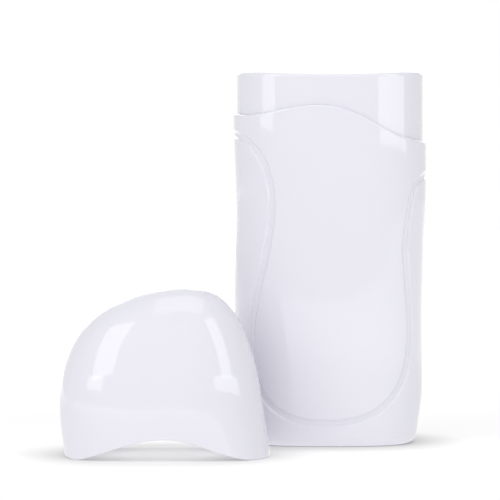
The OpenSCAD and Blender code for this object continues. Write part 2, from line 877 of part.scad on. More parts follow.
// Clip that presses the cut-out and the fuse on the well.
module thermostat_clip() {
    t = 0.6;
    top = well_z - fit;
    foot = 2.4;
    low_l = top - thermo_h - fit;
    low_r = top - 2 * sleeve_r - fit;
    l = thermo_y - thermo_d / 2;
    m = thermo_y + thermo_d / 2 + fit;
    n = fuse_y - sleeve_r - fit;
    r = fuse_y + sleeve_r;
    color(steel)
        difference() {
            strip_x(0, 6, [
                [l, low_l], [m, low_l], [m, top], [n, top], [n, low_r], [r, low_r],
                [r, low_r - t], [n - t, low_r - t], [n - t, top - t],
                [m + t, top - t], [m + t, low_l - t], [l, low_l - t]
            ]);
            translate([0, clip_y, top - foot])
                cylinder(r = strap_screw_r + hole_play, h = 2 * foot, $fn = 32);
        }
}

// Clear pane in the rear shell: a plug that fills the slot, on a flange behind the wall.
module level_window() {
    lip_w = window_w + 2 * window_lip;
    lip_h = window_h + 2 * window_lip;
    low = window_z - lip_h / 2;
    // Upright shell between two depths below the skin.
    module layer(outer, inner) {
        difference() {
            oval_plate(body_w / 2 - outer, body_d / 2 - outer, low, lip_h);
            oval_plate(body_w / 2 - inner, body_d / 2 - inner, low - cut, lip_h + 2 * cut);
            translate([-body_w, -body_d, low - cut])
                cube([2 * body_w, body_d, lip_h + 2 * cut]);
        }
    }
    color([0.85, 0.90, 0.92, 0.4]) {
        intersection() {
            layer(pane_sink, wall + fit + pane_t);
            slot_y(window_w - 2 * panel_gap, window_h - 2 * panel_gap,
                panel_in, panel_cut, window_z);
        }
        intersection() {
            layer(wall + fit, wall + fit + pane_t);
            slot_y(lip_w, lip_h, panel_in, panel_cut, window_z);
        }
    }
}

// Power switch: a frame on the rear face with a case behind it, open in front for the rocker.
frame_t = 1.2;
case_wall = 0.9;
swing_gap = 0.2;
swing_r = case_h / 2 - case_wall - swing_gap;
pivot_play = 0.06;
pivot_y = switch_seat;
case_back = pivot_y - swing_r - case_wall - swing_gap;

module rocker_case() {
    inside_a = case_a - case_wall;
    inside_h = case_h - 2 * case_wall;
    color([0.12, 0.12, 0.13])
        difference() {
            union() {
                translate([-switch_w / 2, switch_seat + fit, switch_z - switch_h / 2])
                    cube([switch_w, frame_t, switch_h]);
                translate([-case_a, case_back, switch_z - case_h / 2])
                    cube([2 * case_a, switch_seat + 2 * fit - case_back, case_h]);
            }
            translate([-inside_a, case_back + case_wall, switch_z - inside_h / 2])
                cube([2 * inside_a, 2 * case_h, inside_h]);
            translate([-case_a - cut, pivot_y, switch_z])
                rotate([0, 90, 0])
                    cylinder(r = pivot_r + pivot_play, h = 2 * (case_a + cut), $fn = 48);
            for (s = [-1, 1])
                translate([-blade_w / 2 - 0.1, case_back - cut,
                    switch_z + s * blade_dz - blade_t / 2 - 0.05])
                    cube([blade_w + 0.2, case_wall + 2 * cut, blade_t + 0.1]);
        }
}

// Rocker with a shallow vee face, round ends about its pivot, and two pivot pins.
module power_rocker() {
    half_w = case_a - case_wall - swing_gap;
    back = -2.4;
    middle = 1.6;
    end = swing_r + cut;
    tip = middle + end * tan(rocker_travel / 2);
    color([0.75, 0.10, 0.10])
        translate([0, pivot_y, switch_z])
            rotate([-rocker_travel / 2, 0, 0]) {
                intersection() {
                    rotate([0, 90, 0])
                        cylinder(r = swing_r, h = 2 * half_w, center = true, $fn = 96);
                    strip_x(0, 2 * half_w,
                        [[back, -end], [tip, -end], [middle, 0], [tip, end], [back, end]]);
                }
                rotate([0, 90, 0])
                    cylinder(r = pivot_r, h = 2 * (case_a - 0.1), center = true, $fn = 48);
            }
}

blade_w = 4.8;
blade_t = 0.8;
blade_dz = 3.4;
blade_len = 7.5;

module switch_terminals() {
    color(brass)
        for (s = [-1, 1])
            translate([-blade_w / 2, case_back - blade_len, switch_z + s * blade_dz - blade_t / 2])
                cube([blade_w, blade_len + case_wall, blade_t]);
}

// Two-pole inlet for a detachable cord: a flange, a barrel and a recess round the pins.
inlet_flange_t = 1.5;
inlet_r = 2;
inlet_face = inlet_seat + fit + inlet_flange_t;
inlet_back = body_d / 2 - 14;
recess_depth = 10.5;
lobe_r = 4.1;
lobe_step = 1;
pin_fit = 0.02;

// Upright plate with round corners, facing along Y.
module upright_plate(a, b, r, z, y, t) {
    translate([0, y + t, z])
        rotate([90, 0, 0])
            round_plate(a, b, r, 0, t);
}

module inlet_socket() {
    lobe_x = pin_pitch / 2;
    color([0.10, 0.10, 0.11])
        difference() {
            union() {
                upright_plate(inlet_w / 2, inlet_h / 2, inlet_r, inlet_z,
                    inlet_seat + fit, inlet_flange_t);
                translate([-barrel_a, inlet_back, inlet_z - barrel_b])
                    cube([2 * barrel_a, inlet_seat + 2 * fit - inlet_back, 2 * barrel_b]);
            }
            for (s = [-1, 1]) {
                rod_y(s * lobe_x, inlet_face - recess_depth, inlet_z, lobe_r, recess_depth + cut, 48);
                rod_y(s * lobe_x, inlet_back - cut, inlet_z, pin_r + pin_fit, body_d, 32);
            }
            translate([-lobe_x, inlet_face - recess_depth, inlet_z - lobe_r + lobe_step])
                cube([pin_pitch, recess_depth + cut, 2 * (lobe_r - lobe_step)]);
        }
}

pin_tail = 5;
pin_sink = 1.6;
module inlet_pins() {
    color([0.80, 0.81, 0.82])
        for (s = [-1, 1])
            rod_y(s * pin_pitch / 2, inlet_back - pin_tail, inlet_z, pin_r,
                inlet_face - pin_sink - inlet_back + pin_tail, 32);
}

// Indicator board, its lamp and the parts on it.
module control_board() {
    color([0.10, 0.38, 0.20])
        difference() {
            translate([board_x - board_w / 2, board_y, board_z])
                cube([board_w, board_t, board_h]);
            for (s = [-1, 1])
                rod_y(board_x + s * board_boss_dx, board_y - cut, board_boss_z,
                    board_pilot_r + hole_play, board_t + 2 * cut);
        }
}

module board_screws() {
    color(steel)
        for (s = [-1, 1])
            translate([board_x + s * board_boss_dx, board_y + board_screw_len, board_boss_z])
                rotate([90, 0, 0])
                    screw(board_pilot_r - thread_fit, board_screw_len, 1.7, 1.1);
}

led_len = 5;
led_r = 1.5;
module indicator_led() {
    foot_h = 1;
    foot_r = led_r + 0.4;
    color([0.85, 0.15, 0.12])
        translate([lens_x, board_y + board_t + fit, lens_z])
            rotate([-90, 0, 0])
                rotate_extrude($fn = 32)
                    polygon(concat(
                        [[0, 0], [foot_r, 0], [foot_r, foot_h], [led_r, foot_h]],
                        [for (a = [0 : 15 : 90])
                            [led_r * cos(a), led_len - led_r + led_r * sin(a)]]
                    ));
}

// The lens reaches from just behind the lamp's dome through the wall.
module indicator_lens() {
    back = board_y + board_t + led_len + 0.4;
    front = skin_y(lens_x, lens_z, 0) + 0.25;
    flange_r = lens_r + 0.6;
    flange_h = 0.7;
    color([0.90, 0.30, 0.25, 0.7]) {
        rod_y(lens_x, back, lens_z, flange_r, flange_h);
        rod_y(lens_x, back, lens_z, lens_r, front - back);
    }
}

module series_resistor() {
    len = 6.4;
    r = 1.1;
    lead = 1.6;
    lead_r = 0.3;
    color([0.75, 0.62, 0.42])
        translate([board_x, board_y - r - fit, board_z + board_h / 2])
            rotate([0, 90, 0]) {
                cylinder(r = r, h = len, center = true, $fn = 32);
                cylinder(r = lead_r, h = len + 2 * lead, center = true, $fn = 24);
            }
}

// Round wire along a smooth path through points picked by hand.
module wire(points, r = wire_r) {
    sides = 8;
    line = smooth_path(points, 3);
    last = len(line) - 1;
    up = [0.31, 0.23, 0.92];
    loft([
        for (i = [0 : last])
            let (
                along = unit(line[min(i + 1, last)] - line[max(i - 1, 0)]),
                side = unit(cross(along, up)),
                other = cross(along, side)
            )
            [for (k = [0 : sides - 1])
                line[i] + r * (cos(360 * k / sides) * side + sin(360 * k / sides) * other)]
    ]);
}

// Ends of the wiring: the tips of the pins and blades, and the middle of the tabs.
wire_gap = 0.3;
pin_end = inlet_back - pin_tail - wire_gap;
blade_end = case_back - blade_len - wire_gap;
tab_z = stack_z - stack_h / 2 - tab_h / 2;
inner_tab_y = layer_2 - wire_r - fit;
outer_tab_y = layer_4 + plate_t + wire_r + fit;
thermo_z = well_z - fit - thermo_h / 2;

module live_wire() {
    color([0.45, 0.25, 0.12])
        wire([
            [-pin_pitch / 2, pin_end, inlet_z], [-pin_pitch / 2, pin_end - 2, inlet_z],
            [-3, pin_end - 4, inlet_z + 6], [-0.5, blade_end - 2, switch_z - blade_dz],
            [0, blade_end, switch_z - blade_dz]
        ]);
}

module switch_wire() {
    color([0.45, 0.25, 0.12])
        wire([
            [0, blade_end, switch_z + blade_dz], [0.5, blade_end - 2, switch_z + blade_dz],
            [6, blade_end - 7, switch_z - 1], [14, thermo_y, well_z - 9],
            [thermo_w / 2 + 3, thermo_y, thermo_z], [thermo_w / 2 + wire_gap, thermo_y, thermo_z]
        ]);
}

// Link from the cut-out to the fuse, and from the fuse to the inner contact plate.
module fuse_wires() {
    lead_end = fuse_lead_len / 2 + wire_gap;
    color([0.80, 0.80, 0.78]) {
        wire([
            [-thermo_w / 2 - wire_gap, thermo_y, thermo_z], [-thermo_w / 2 - 3, thermo_y, thermo_z],
            [-thermo_w / 2 - 5, (thermo_y + fuse_y) / 2, thermo_z - 1],
            [-lead_end - 3, fuse_y, fuse_z], [-lead_end, fuse_y, fuse_z]
        ]);
        wire([
            [lead_end, fuse_y, fuse_z], [lead_end + 3, fuse_y, fuse_z],
            [15.5, 0, well_z - 6], [8, stack_y + 5, well_z - 9], [-4, stack_y, well_z - 5],
            [-tab_x, inner_tab_y - 0.4, well_z + 2], [-tab_x, inner_tab_y, tab_z - 5],
            [-tab_x, inner_tab_y, tab_z]
        ]);
    }
}

module neutral_wire() {
    color([0.15, 0.30, 0.65])
        wire([
            [tab_x, outer_tab_y, tab_z], [tab_x, outer_tab_y, tab_z - 5],
            [tab_x, outer_tab_y - 0.4, well_z + 2], [tab_x - 1, stack_y - 0.5, well_z - 6],
            [tab_x - 2, stack_y + 8, inlet_z + 4], [pin_pitch / 2, pin_end - 4, inlet_z],
            [pin_pitch / 2, pin_end, inlet_z]
        ]);
}

module indicator_wires() {
    x0 = board_x - board_w / 2;
    thin_r = 0.75 * wire_r;
    color([0.70, 0.12, 0.12])
        for (s = [0, 1])
            wire([
                [x0 + 2 + 3 * s, board_y - wire_gap, board_z + 12],
                [x0 + 2 + 3 * s, board_y - 3, board_z + 12],
                [x0 + 1 + 3 * s, board_y - 6, board_z + 4],
                [x0 - 1 + 2.6 * s, board_y - 5, board_z - 4]
            ], thin_r);
}

front_shell();
rear_shell();
neck_sleeve();
cap();
base_plate();
base_screws();
heater_cup();
cup_screws();
insulating_films();
inner_electrode();
outer_electrode();
ptc_ceramics();
heater_clamp();
heater_screws();
thermostat();
thermal_fuse();
fuse_sleeve();
thermostat_clip();
level_window();
rocker_case();
power_rocker();
switch_terminals();
inlet_socket();
inlet_pins();
control_board();
board_screws();
indicator_led();
indicator_lens();
series_resistor();
live_wire();
switch_wire();
fuse_wires();
neutral_wire();
indicator_wires();
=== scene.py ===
# %% [markdown]
# # A roll-on wax warmer
# The object is a hand-held warmer for wax cartridges: an oval body moulded in glossy white ABS,
# a neck that guides the cap, and a dome cap that stands beside it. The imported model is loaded
# first and stays as it is: it says where everything lies. What follows gives each piece its
# finish, and rebuilds the four large mouldings with smooth skins.

import json
import math
from functools import partial

import bmesh
import bpy
import numpy as np
from mathutils import Matrix, Quaternion, Vector


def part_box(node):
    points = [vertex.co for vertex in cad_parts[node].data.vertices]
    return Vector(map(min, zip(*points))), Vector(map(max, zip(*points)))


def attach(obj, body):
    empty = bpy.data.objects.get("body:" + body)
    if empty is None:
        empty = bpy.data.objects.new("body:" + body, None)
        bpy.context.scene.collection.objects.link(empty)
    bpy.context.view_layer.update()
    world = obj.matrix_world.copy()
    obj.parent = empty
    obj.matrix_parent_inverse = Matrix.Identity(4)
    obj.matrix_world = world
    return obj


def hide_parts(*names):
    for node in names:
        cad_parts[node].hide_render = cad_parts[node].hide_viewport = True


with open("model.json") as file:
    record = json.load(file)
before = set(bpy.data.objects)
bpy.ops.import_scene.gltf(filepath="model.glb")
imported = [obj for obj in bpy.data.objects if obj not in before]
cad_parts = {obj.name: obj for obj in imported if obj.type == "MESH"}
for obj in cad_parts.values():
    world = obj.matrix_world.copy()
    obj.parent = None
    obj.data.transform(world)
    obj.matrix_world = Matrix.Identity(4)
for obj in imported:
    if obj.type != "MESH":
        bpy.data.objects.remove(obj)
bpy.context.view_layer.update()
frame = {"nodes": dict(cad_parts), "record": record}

# %% [markdown]
# ## Sizes
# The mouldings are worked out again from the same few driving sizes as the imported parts, in
# millimetres, and turned into metres when a mesh is made, so that the skins land exactly on
# the parts that they stand for. Places of openings and fasteners are read from the frame.

# %% Driving sizes
MM = 0.001

body_w, body_d, body_h, squareness = 70.0, 50.0, 134.7, 2.7
wall, base_r, lip_r, seam_gap, fit, panel_gap = 2.2, 3.2, 0.8, 0.1, 0.05, 0.15
neck_step, neck_wall, rim_sag = 1.2, 2.0, 1.6
sleeve_z = body_h - 30.5
deck_z, deck_t = body_h - 7.2, 2.4
grip_wall, panel_wall, groove_depth = (1.2, 2.0), (0.3, 1.15), 0.7
seam_share, run_out = 0.25, 10.0
neck_a, neck_b = body_w / 2 - neck_step, body_d / 2 - neck_step
print(f"body {body_w:.2f} x {body_d:.2f} mm, seam {seam_gap:.2f} mm")

# %% [markdown]
# ## Curves that give the body its outline
# The body's section is an oval between an ellipse and a rectangle. Its left, right and front
# edges each follow a smooth curve up the height, and the lip follows another across the width.
# A cubic curve through a few points is how a designer would draw them, so a small function
# joins the points, and works on whole arrays at once.

# %% Smooth curves through a few points
def smooth_curve(points):
    """Returns a function that follows the points, given as (position, value)."""
    wide = np.pad(np.array(points, float), ((1, 1), (0, 0)), mode="edge")
    x, y = wide[1:-1].T
    across, rise = (wide[2:] - wide[:-2]).T
    slope = rise / across

    def value(v):
        v = np.clip(v, x[0], x[-1])
        i = np.clip(np.searchsorted(x, v, side="right") - 1, 0, len(x) - 2)
        h = x[i + 1] - x[i]
        t = (v - x[i]) / h
        return ((2 * t**3 - 3 * t**2 + 1) * y[i] + (t**3 - 2 * t**2 + t) * h * slope[i]
                + (3 * t**2 - 2 * t**3) * y[i + 1] + (t**3 - t**2) * h * slope[i + 1])
    return value


left_inset = smooth_curve([
    (0, 3.7), (0.09, 1.8), (0.21, 0.5), (0.37, 0), (0.49, 0.4),
    (0.61, 1.1), (0.73, 0.6), (0.83, 0), (0.92, -0.2), (1.1, -0.2)])
right_inset = smooth_curve([
    (0, 3.8), (0.06, 2.6), (0.15, 1.2), (0.37, 1.1), (0.53, 0.8), (0.62, 0.3), (0.7, 0), (1.1, 0)])
depth_inset = smooth_curve([(0, 2.4), (0.08, 0.8), (0.2, 0.15), (0.35, 0), (1.1, 0)])
lip_drop = smooth_curve([
    (-1, 15.1), (-0.83, 16), (-0.4, 13.4), (-0.17, 12.6), (0.06, 13.3),
    (0.29, 16.1), (0.51, 20.2), (0.74, 23.8), (1, 25.6)])


def xyz(x, y, z):
    """Row of points from their three coordinates, each a number or an array."""
    return np.stack(np.broadcast_arrays(x, y, z), axis=-1).astype(float)


def signed_power(v, p):
    """Power of the size of v, with the sign of v."""
    return np.sign(v) * np.abs(v) ** p


def oval(left, right, depth, turn):
    """Point on an oval from left to right, at an angle in radians."""
    x = (left + right) / 2 + (right - left) / 2 * signed_power(np.cos(turn), 2 / squareness)
    return x, depth * signed_power(np.sin(turn), 2 / squareness)


def rolled_edge(distance, r):
    """How far a rounded edge of radius r has fallen at a distance from its end."""
    return r - np.sqrt(r * r - (r - np.clip(distance, 0, r)) ** 2)


def skin(turn, z, inset=0.0):
    """Point of the body's outside, or set in from it, at an angle and a height."""
    share = np.asarray(z) / body_h
    e = inset if inset > lip_r else inset + rolled_edge(z, base_r)
    return xyz(*oval(left_inset(share) - body_w / 2 + e, body_w / 2 - right_inset(share) - e,
                     body_d / 2 - depth_inset(share) - e, turn), z)


def lip_z(x):
    """Height of the wavy lip."""
    return body_h - lip_drop(2 * x / body_w)


lip_heights = lip_z(np.linspace(-35, 35, 99))
print(f"lip from {lip_heights.min():.1f} to {lip_heights.max():.1f} mm")

# %% [markdown]
# ## Meshes from rows of points
# A moulding is easiest to control as a grid: each row is a ring at one height, each column
# runs up the wall. One helper turns such rows into a mesh and scales it to metres, so every
# piece is made in the same way, with its place in its mesh and its object at the origin.

# %% From rows to an object
def put(name, data):
    """New object in the scene."""
    thing = bpy.data.objects.new(name, data)
    bpy.context.scene.collection.objects.link(thing)
    return thing


def new_piece(name, mesh):
    """Puts a mesh in the scene, smooth except where it turns by more than 35 degrees."""
    mesh.shade_smooth()
    mesh.set_sharp_from_angle(angle=math.radians(35))
    return put(name, mesh)


def piece_from(name, bm, *materials):
    """Writes a bmesh in millimetres to a mesh in metres, facing outwards, as a new piece."""
    open_edges = sum(not e.is_manifold for e in bm.edges)
    print(name, len(bm.faces), "faces,", open_edges, "open edges")
    bmesh.ops.recalc_face_normals(bm, faces=bm.faces)
    bmesh.ops.scale(bm, vec=(MM, MM, MM), verts=bm.verts)
    mesh = bpy.data.meshes.new(name)
    bm.to_mesh(mesh)
    bm.free()
    for material in materials:
        mesh.materials.append(material)
    return new_piece(name, mesh)


def merge(bm, distance=0.005):
    """Joins points that lie within a distance of each other."""
    bmesh.ops.remove_doubles(bm, verts=bm.verts, dist=distance)


def add_grid(bm, rows, ring):
    """Adds rows of points as quads. A ring joins its last column to its first."""
    made = [[bm.verts.new(p) for p in row] for row in rows]
    across = len(rows[0])
    for low, high in zip(made, made[1:]):
        for i in range(across if ring else across - 1):
            k = (i + 1) % across
            bm.faces.new((low[i], low[k], high[k], high[i]))
    return made


def ringed(name, rows, *materials):
    """Closed piece from rings of points, whose first and last may be a point or a line."""
    bm = bmesh.new()
    add_grid(bm, rows, ring=True)
    merge(bm)
    return piece_from(name, bm, *materials)


# %% [markdown]
# ## The grip groove
# A groove runs round the front and rear as the edge between the panel and the grip. It is
# moulded, with nearly straight walls at about 45 degrees: the one by the grip catches the light
# as a thin line. Its middle is a smooth path on the skin, and the depth at any point depends only
# on how far that point lies from the path, so that distance is worked out first. The groove
# runs out to a quarter of its depth at the seams, so the halves meet almost unbroken.

# %% Path of the groove
groove_path = np.array([
    (-1, 0.839), (-0.9, 0.823), (-0.766, 0.788), (-0.663, 0.732), (-0.623, 0.642),
    (-0.669, 0.509), (-0.766, 0.386), (-0.811, 0.267), (-0.76, 0.162), (-0.543, 0.094),
    (0, 0.067), (0.529, 0.105), (0.766, 0.195), (0.826, 0.312), (0.789, 0.448),
    (0.766, 0.535), (0.806, 0.65), (0.891, 0.706), (1, 0.733)])


def lengths(vectors):
    """Lengths of rows of numbers."""
    return np.sqrt((vectors**2).sum(axis=1))


def run_along(points):
    """Distance of each point from the first, along the line through them."""
    return np.concatenate([[0], np.cumsum(lengths(np.diff(points, axis=0)))])


def groove_line(steps=24):
    """Points along the middle of the groove on the front, past both seams."""
    share, height = groove_path.T
    a = np.arccos(np.abs(share) ** (squareness / 2))
    turn = np.where(share < 0, math.pi + a, 2 * math.pi - a)
    last = len(share) - 1
    at = np.linspace(0, last, last * steps + 1)
    points = skin(*(smooth_curve(np.transpose([np.arange(-1, last + 2), np.pad(v, 1, mode="edge")]))(at)
                    for v in (turn, height * body_h)))
    beyond = np.array([0, 4.0, 0])
    return np.vstack([points[:1] + beyond, points, points[-1:] + beyond])


def groove_distance(points, line):
    """Distance from the line to each point: positive on the grip's side, negative on the panel."""
    nearest = np.full(len(points), 99.0)
    for a, b in zip(line, line[1:]):
        along, outward = b - a, (a + b) / 2 * (body_w**-2, body_d**-2, 0)
        t = np.clip((points - a) @ along / (along @ along), 0, 1)
        gap = points - a - t[:, None] * along
        d = lengths(gap)
        signed = np.where(gap @ np.cross(along, outward) > 0, d, -d)
        nearest = np.where(d < np.abs(nearest), signed, nearest)
    return nearest


def groove_drop(distance):
    """Depth of the groove at a distance from its middle: each wall runs from its foot to its edge."""
    foot, edge = (np.where(distance > 0, grip_wall[k], panel_wall[k]) for k in (0, 1))
    t = np.clip((np.abs(distance) - foot) / (edge - foot), 0, 1)
    return groove_depth * (1 - (t + t * t * (3 - 2 * t)) / 2)


groove = groove_line()
print("groove:", round(float(run_along(groove)[-1])), "mm long")

# %% [markdown]
# ## Cutting a mesh along a contour
# A grid rarely has an edge just where a groove or a window begins. A map draws a contour where
# the height passes a level, and the same can be done here: each edge that crosses the level is
# split there, and each face between two new points is split as well. The groove and all the
# openings then have clean edges, and the rest of the skin keeps its even grid.

# %% Contours on a mesh
def contour(bm, value, level, on_skin):
    """Splits the skin's faces where a value on the vertices passes a level."""
    crossed = [
        e for e in bm.edges
        if e.verts[0][on_skin] > 0.5 and e.verts[1][on_skin] > 0.5
        and (e.verts[0][value] - level) * (e.verts[1][value] - level) < 0]
    fresh = []
    for e in crossed:
        a, b = e.verts
        share = (level - a[value]) / (b[value] - a[value])
        made = bmesh.utils.edge_split(e, a, share)[1]
        made[value] = level
        fresh.append(made)
    for face in dict.fromkeys(f for v in fresh for f in v.link_faces):
        marks = [v for v in face.verts if abs(v[value] - level) < 1e-5]
        if len(marks) == 2 and not any(marks[1] in e.verts for e in marks[0].link_edges):
            bmesh.utils.face_split(face, marks[0], marks[1])


# %% [markdown]
# ## Openings of the rear panel
# The level window, the switch, the inlet and the lamp all sit in the rear shell. Each opening
# is an outline in X and Z, given as the distance to it: negative inside, positive outside.
# That one number serves to cut the contour, to sink a flat seat and to round the edge.

# %% Outlines of the openings
def box_outline(centre_z, half_w, half_h, corner, centre_x=0.0):
    """Distance to an upright box with round corners."""
    def distance(points):
        dx = np.abs(points[:, 0] - centre_x) - (half_w - corner)
        dz = np.abs(points[:, 2] - centre_z) - (half_h - corner)
        outside = np.hypot(np.maximum(dx, 0), np.maximum(dz, 0))
        return outside + np.minimum(np.maximum(dx, dz), 0) - corner
    return distance


def node_middle(node):
    """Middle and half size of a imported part, in millimetres."""
    low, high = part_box(node)
    return (low + high) / 2 / MM, (high - low) / 2 / MM


window_w, window_h, window_r, lens_hole_r, lens_edge_r = 9.0, 46.0, 0.35, 1.6, 0.2
switch_hole, inlet_hole, hole_corner, inlet_corner = (5.25, 6.8), (9.35, 5.05), 0.3, 2.15
switch_sink, inlet_sink = 0.6, 1.5
switch_middle, switch_half = node_middle("rocker_case")
inlet_middle, inlet_half = node_middle("inlet_socket")
window_middle = node_middle("level_window")[0]
lens_middle, lens_half = node_middle("indicator_lens")
seats = [
    (box_outline(middle.z, half.x + panel_gap, half.z + panel_gap, corner), body_d / 2 - sink)
    for middle, half, corner, sink in ((switch_middle, switch_half, hole_corner, switch_sink),
                                       (inlet_middle, inlet_half, inlet_corner, inlet_sink))]
holes = [
    (box_outline(window_middle.z, window_w / 2, window_h / 2, window_w / 2), window_r),
    (box_outline(switch_middle.z, *switch_hole, hole_corner), 0.0),
    (box_outline(inlet_middle.z, *inlet_hole, hole_corner), 0.0),
    (box_outline(lens_middle.z, lens_hole_r, lens_hole_r, lens_hole_r, lens_middle.x), lens_edge_r)]
print("panel:", len(seats), "seats and", len(holes), "holes")

# %% [markdown]
# ## The two shells
# Each half of the housing is one moulding, about 2.2 mm thick. Its wall is a closed profile:
# round the foot, up the outside, over the lip, down the pocket that holds the neck, down the
# inside and back under the ledge of the base plate. Sweeping that profile round half an oval
# gives the shell, and the seam gets a small rounded edge, which catches the light.

# %% Columns and rows of a shell
seam_r, lip_inner_r = 0.4, 0.3
plate_a, plate_b, ledge_w, base_t, ledge_t = body_w / 2 - 8.5, body_d / 2 - 7.8, 2.5, 2.4, 1.4
plain_z = 100.0


def fillet(r, *degrees):
    """How far in and how far down a rounded edge of radius r lies at each angle."""
    return [(r * (1 - math.cos(a)), r * (1 - math.sin(a))) for a in map(math.radians, degrees)]


seam_edge = np.array(fillet(seam_r, 0, 30, 60))[:, 0]


def shell_turns(step, fine_step, fine_x):
    """Angles round the front half, evenly spaced along the skin and finer in the middle."""
    start = math.asin((seam_gap / body_d) ** (squareness / 2))
    turn = np.linspace(math.pi + start, 2 * math.pi - start, 6001)
    points = skin(turn, body_h / 2)
    run = run_along(points)
    last = run[-1] - seam_r
    stations, s = [], seam_r
    while s < last - step / 2:
        stations.append(s)
        s += fine_step if abs(np.interp(s, run, points[:, 0])) < fine_x else step
    return np.interp([*seam_edge, *stations, last, *(run[-1] - seam_edge[::-1])], run, turn)


def inner_ring(a, b, turn, z):
    """Row on a plain oval, such as the ledge or the pocket."""
    return xyz(*oval(-a, a, b, turn), z)


def shell_rows(turn, step, inner_count):
    """Rows of the shell's closed profile, how many lie outside, and where the inside starts."""
    crest = lip_z(skin(turn, 118.0)[:, 0])
    heights = [e for e, up in fillet(base_r, *range(0, 90, 15))] + [*np.arange(base_r, plain_z - 0.5, step)]
    rows = [skin(turn, z) for z in heights]
    rows += [skin(turn, plain_z + (crest - lip_r - plain_z) * s)
             for s in (*np.linspace(0, 0.93, 14), 0.985, 1)]
    outside = len(rows)
    rounded = [(skin(turn, crest, e), up) for e, up in fillet(lip_r, 30, 60, 90)]
    rounded += [(inner_ring(neck_a + fit + e, neck_b + fit + e, turn, 0), up)
                for e, up in fillet(lip_inner_r, 90, 60, 30, 0)]
    for row, up in rounded:
        row[:, 2] = lip_z(row[:, 0]) - up
        rows.append(row)
    rows.append(inner_ring(neck_a + fit, neck_b + fit, turn, sleeve_z))
    inside = len(rows)
    ledge_z = base_t + ledge_t
    rows += [skin(turn, z, wall) for z in np.linspace(sleeve_z, ledge_z, inner_count)]
    for e, z in ((-ledge_w, ledge_z), (-ledge_w, base_t + fit), (panel_gap, base_t + fit), (panel_gap, 0)):
        rows.append(inner_ring(plate_a + e, plate_b + e, turn, z))
    return rows, outside, inside


# %% Cut the outlines into the skin
groove_levels = (2.3, *np.linspace(grip_wall[1], grip_wall[0], 7), 0.9, 0.3,
                 *-np.linspace(*panel_wall, 7), -1.45)


def places(bm):
    """Places of all points of a bmesh."""
    return np.array([v.co for v in bm.verts], float)


def cut_outline(bm, name, distances, levels, on_skin, on_wall=None):
    """Stores a distance on every point and cuts its contours, on the wall's inside at zero."""
    layer = bm.verts.layers.float.new(name)
    for vert, distance in zip(bm.verts, distances):
        vert[layer] = distance
    for level in levels:
        contour(bm, layer, level, on_skin)
    if on_wall is not None:
        contour(bm, layer, 0.0, on_wall)


def stored(bm, name):
    """Numbers that a layer holds for all points."""
    layer = bm.verts.layers.float[name]
    return np.array([v[layer] for v in bm.verts])


def open_through(bm, name, *sides):
    """Opens an outline on both sides of a wall and joins the two edges."""
    d = bm.verts.layers.float[name]
    gone = [f for f in bm.faces
            if max(v[d] for v in f.verts) < 1e-4 and min(v[d] for v in f.verts) < -1e-4
            and any(all(v[side] > 0.5 for v in f.verts) for side in sides)]
    ends = {e for e in bm.edges if e.is_boundary}
    bmesh.ops.delete(bm, geom=gone, context="FACES")
    rims = [e for e in bm.edges if e.is_boundary and e not in ends]
    bmesh.ops.bridge_loops(bm, edges=rims)


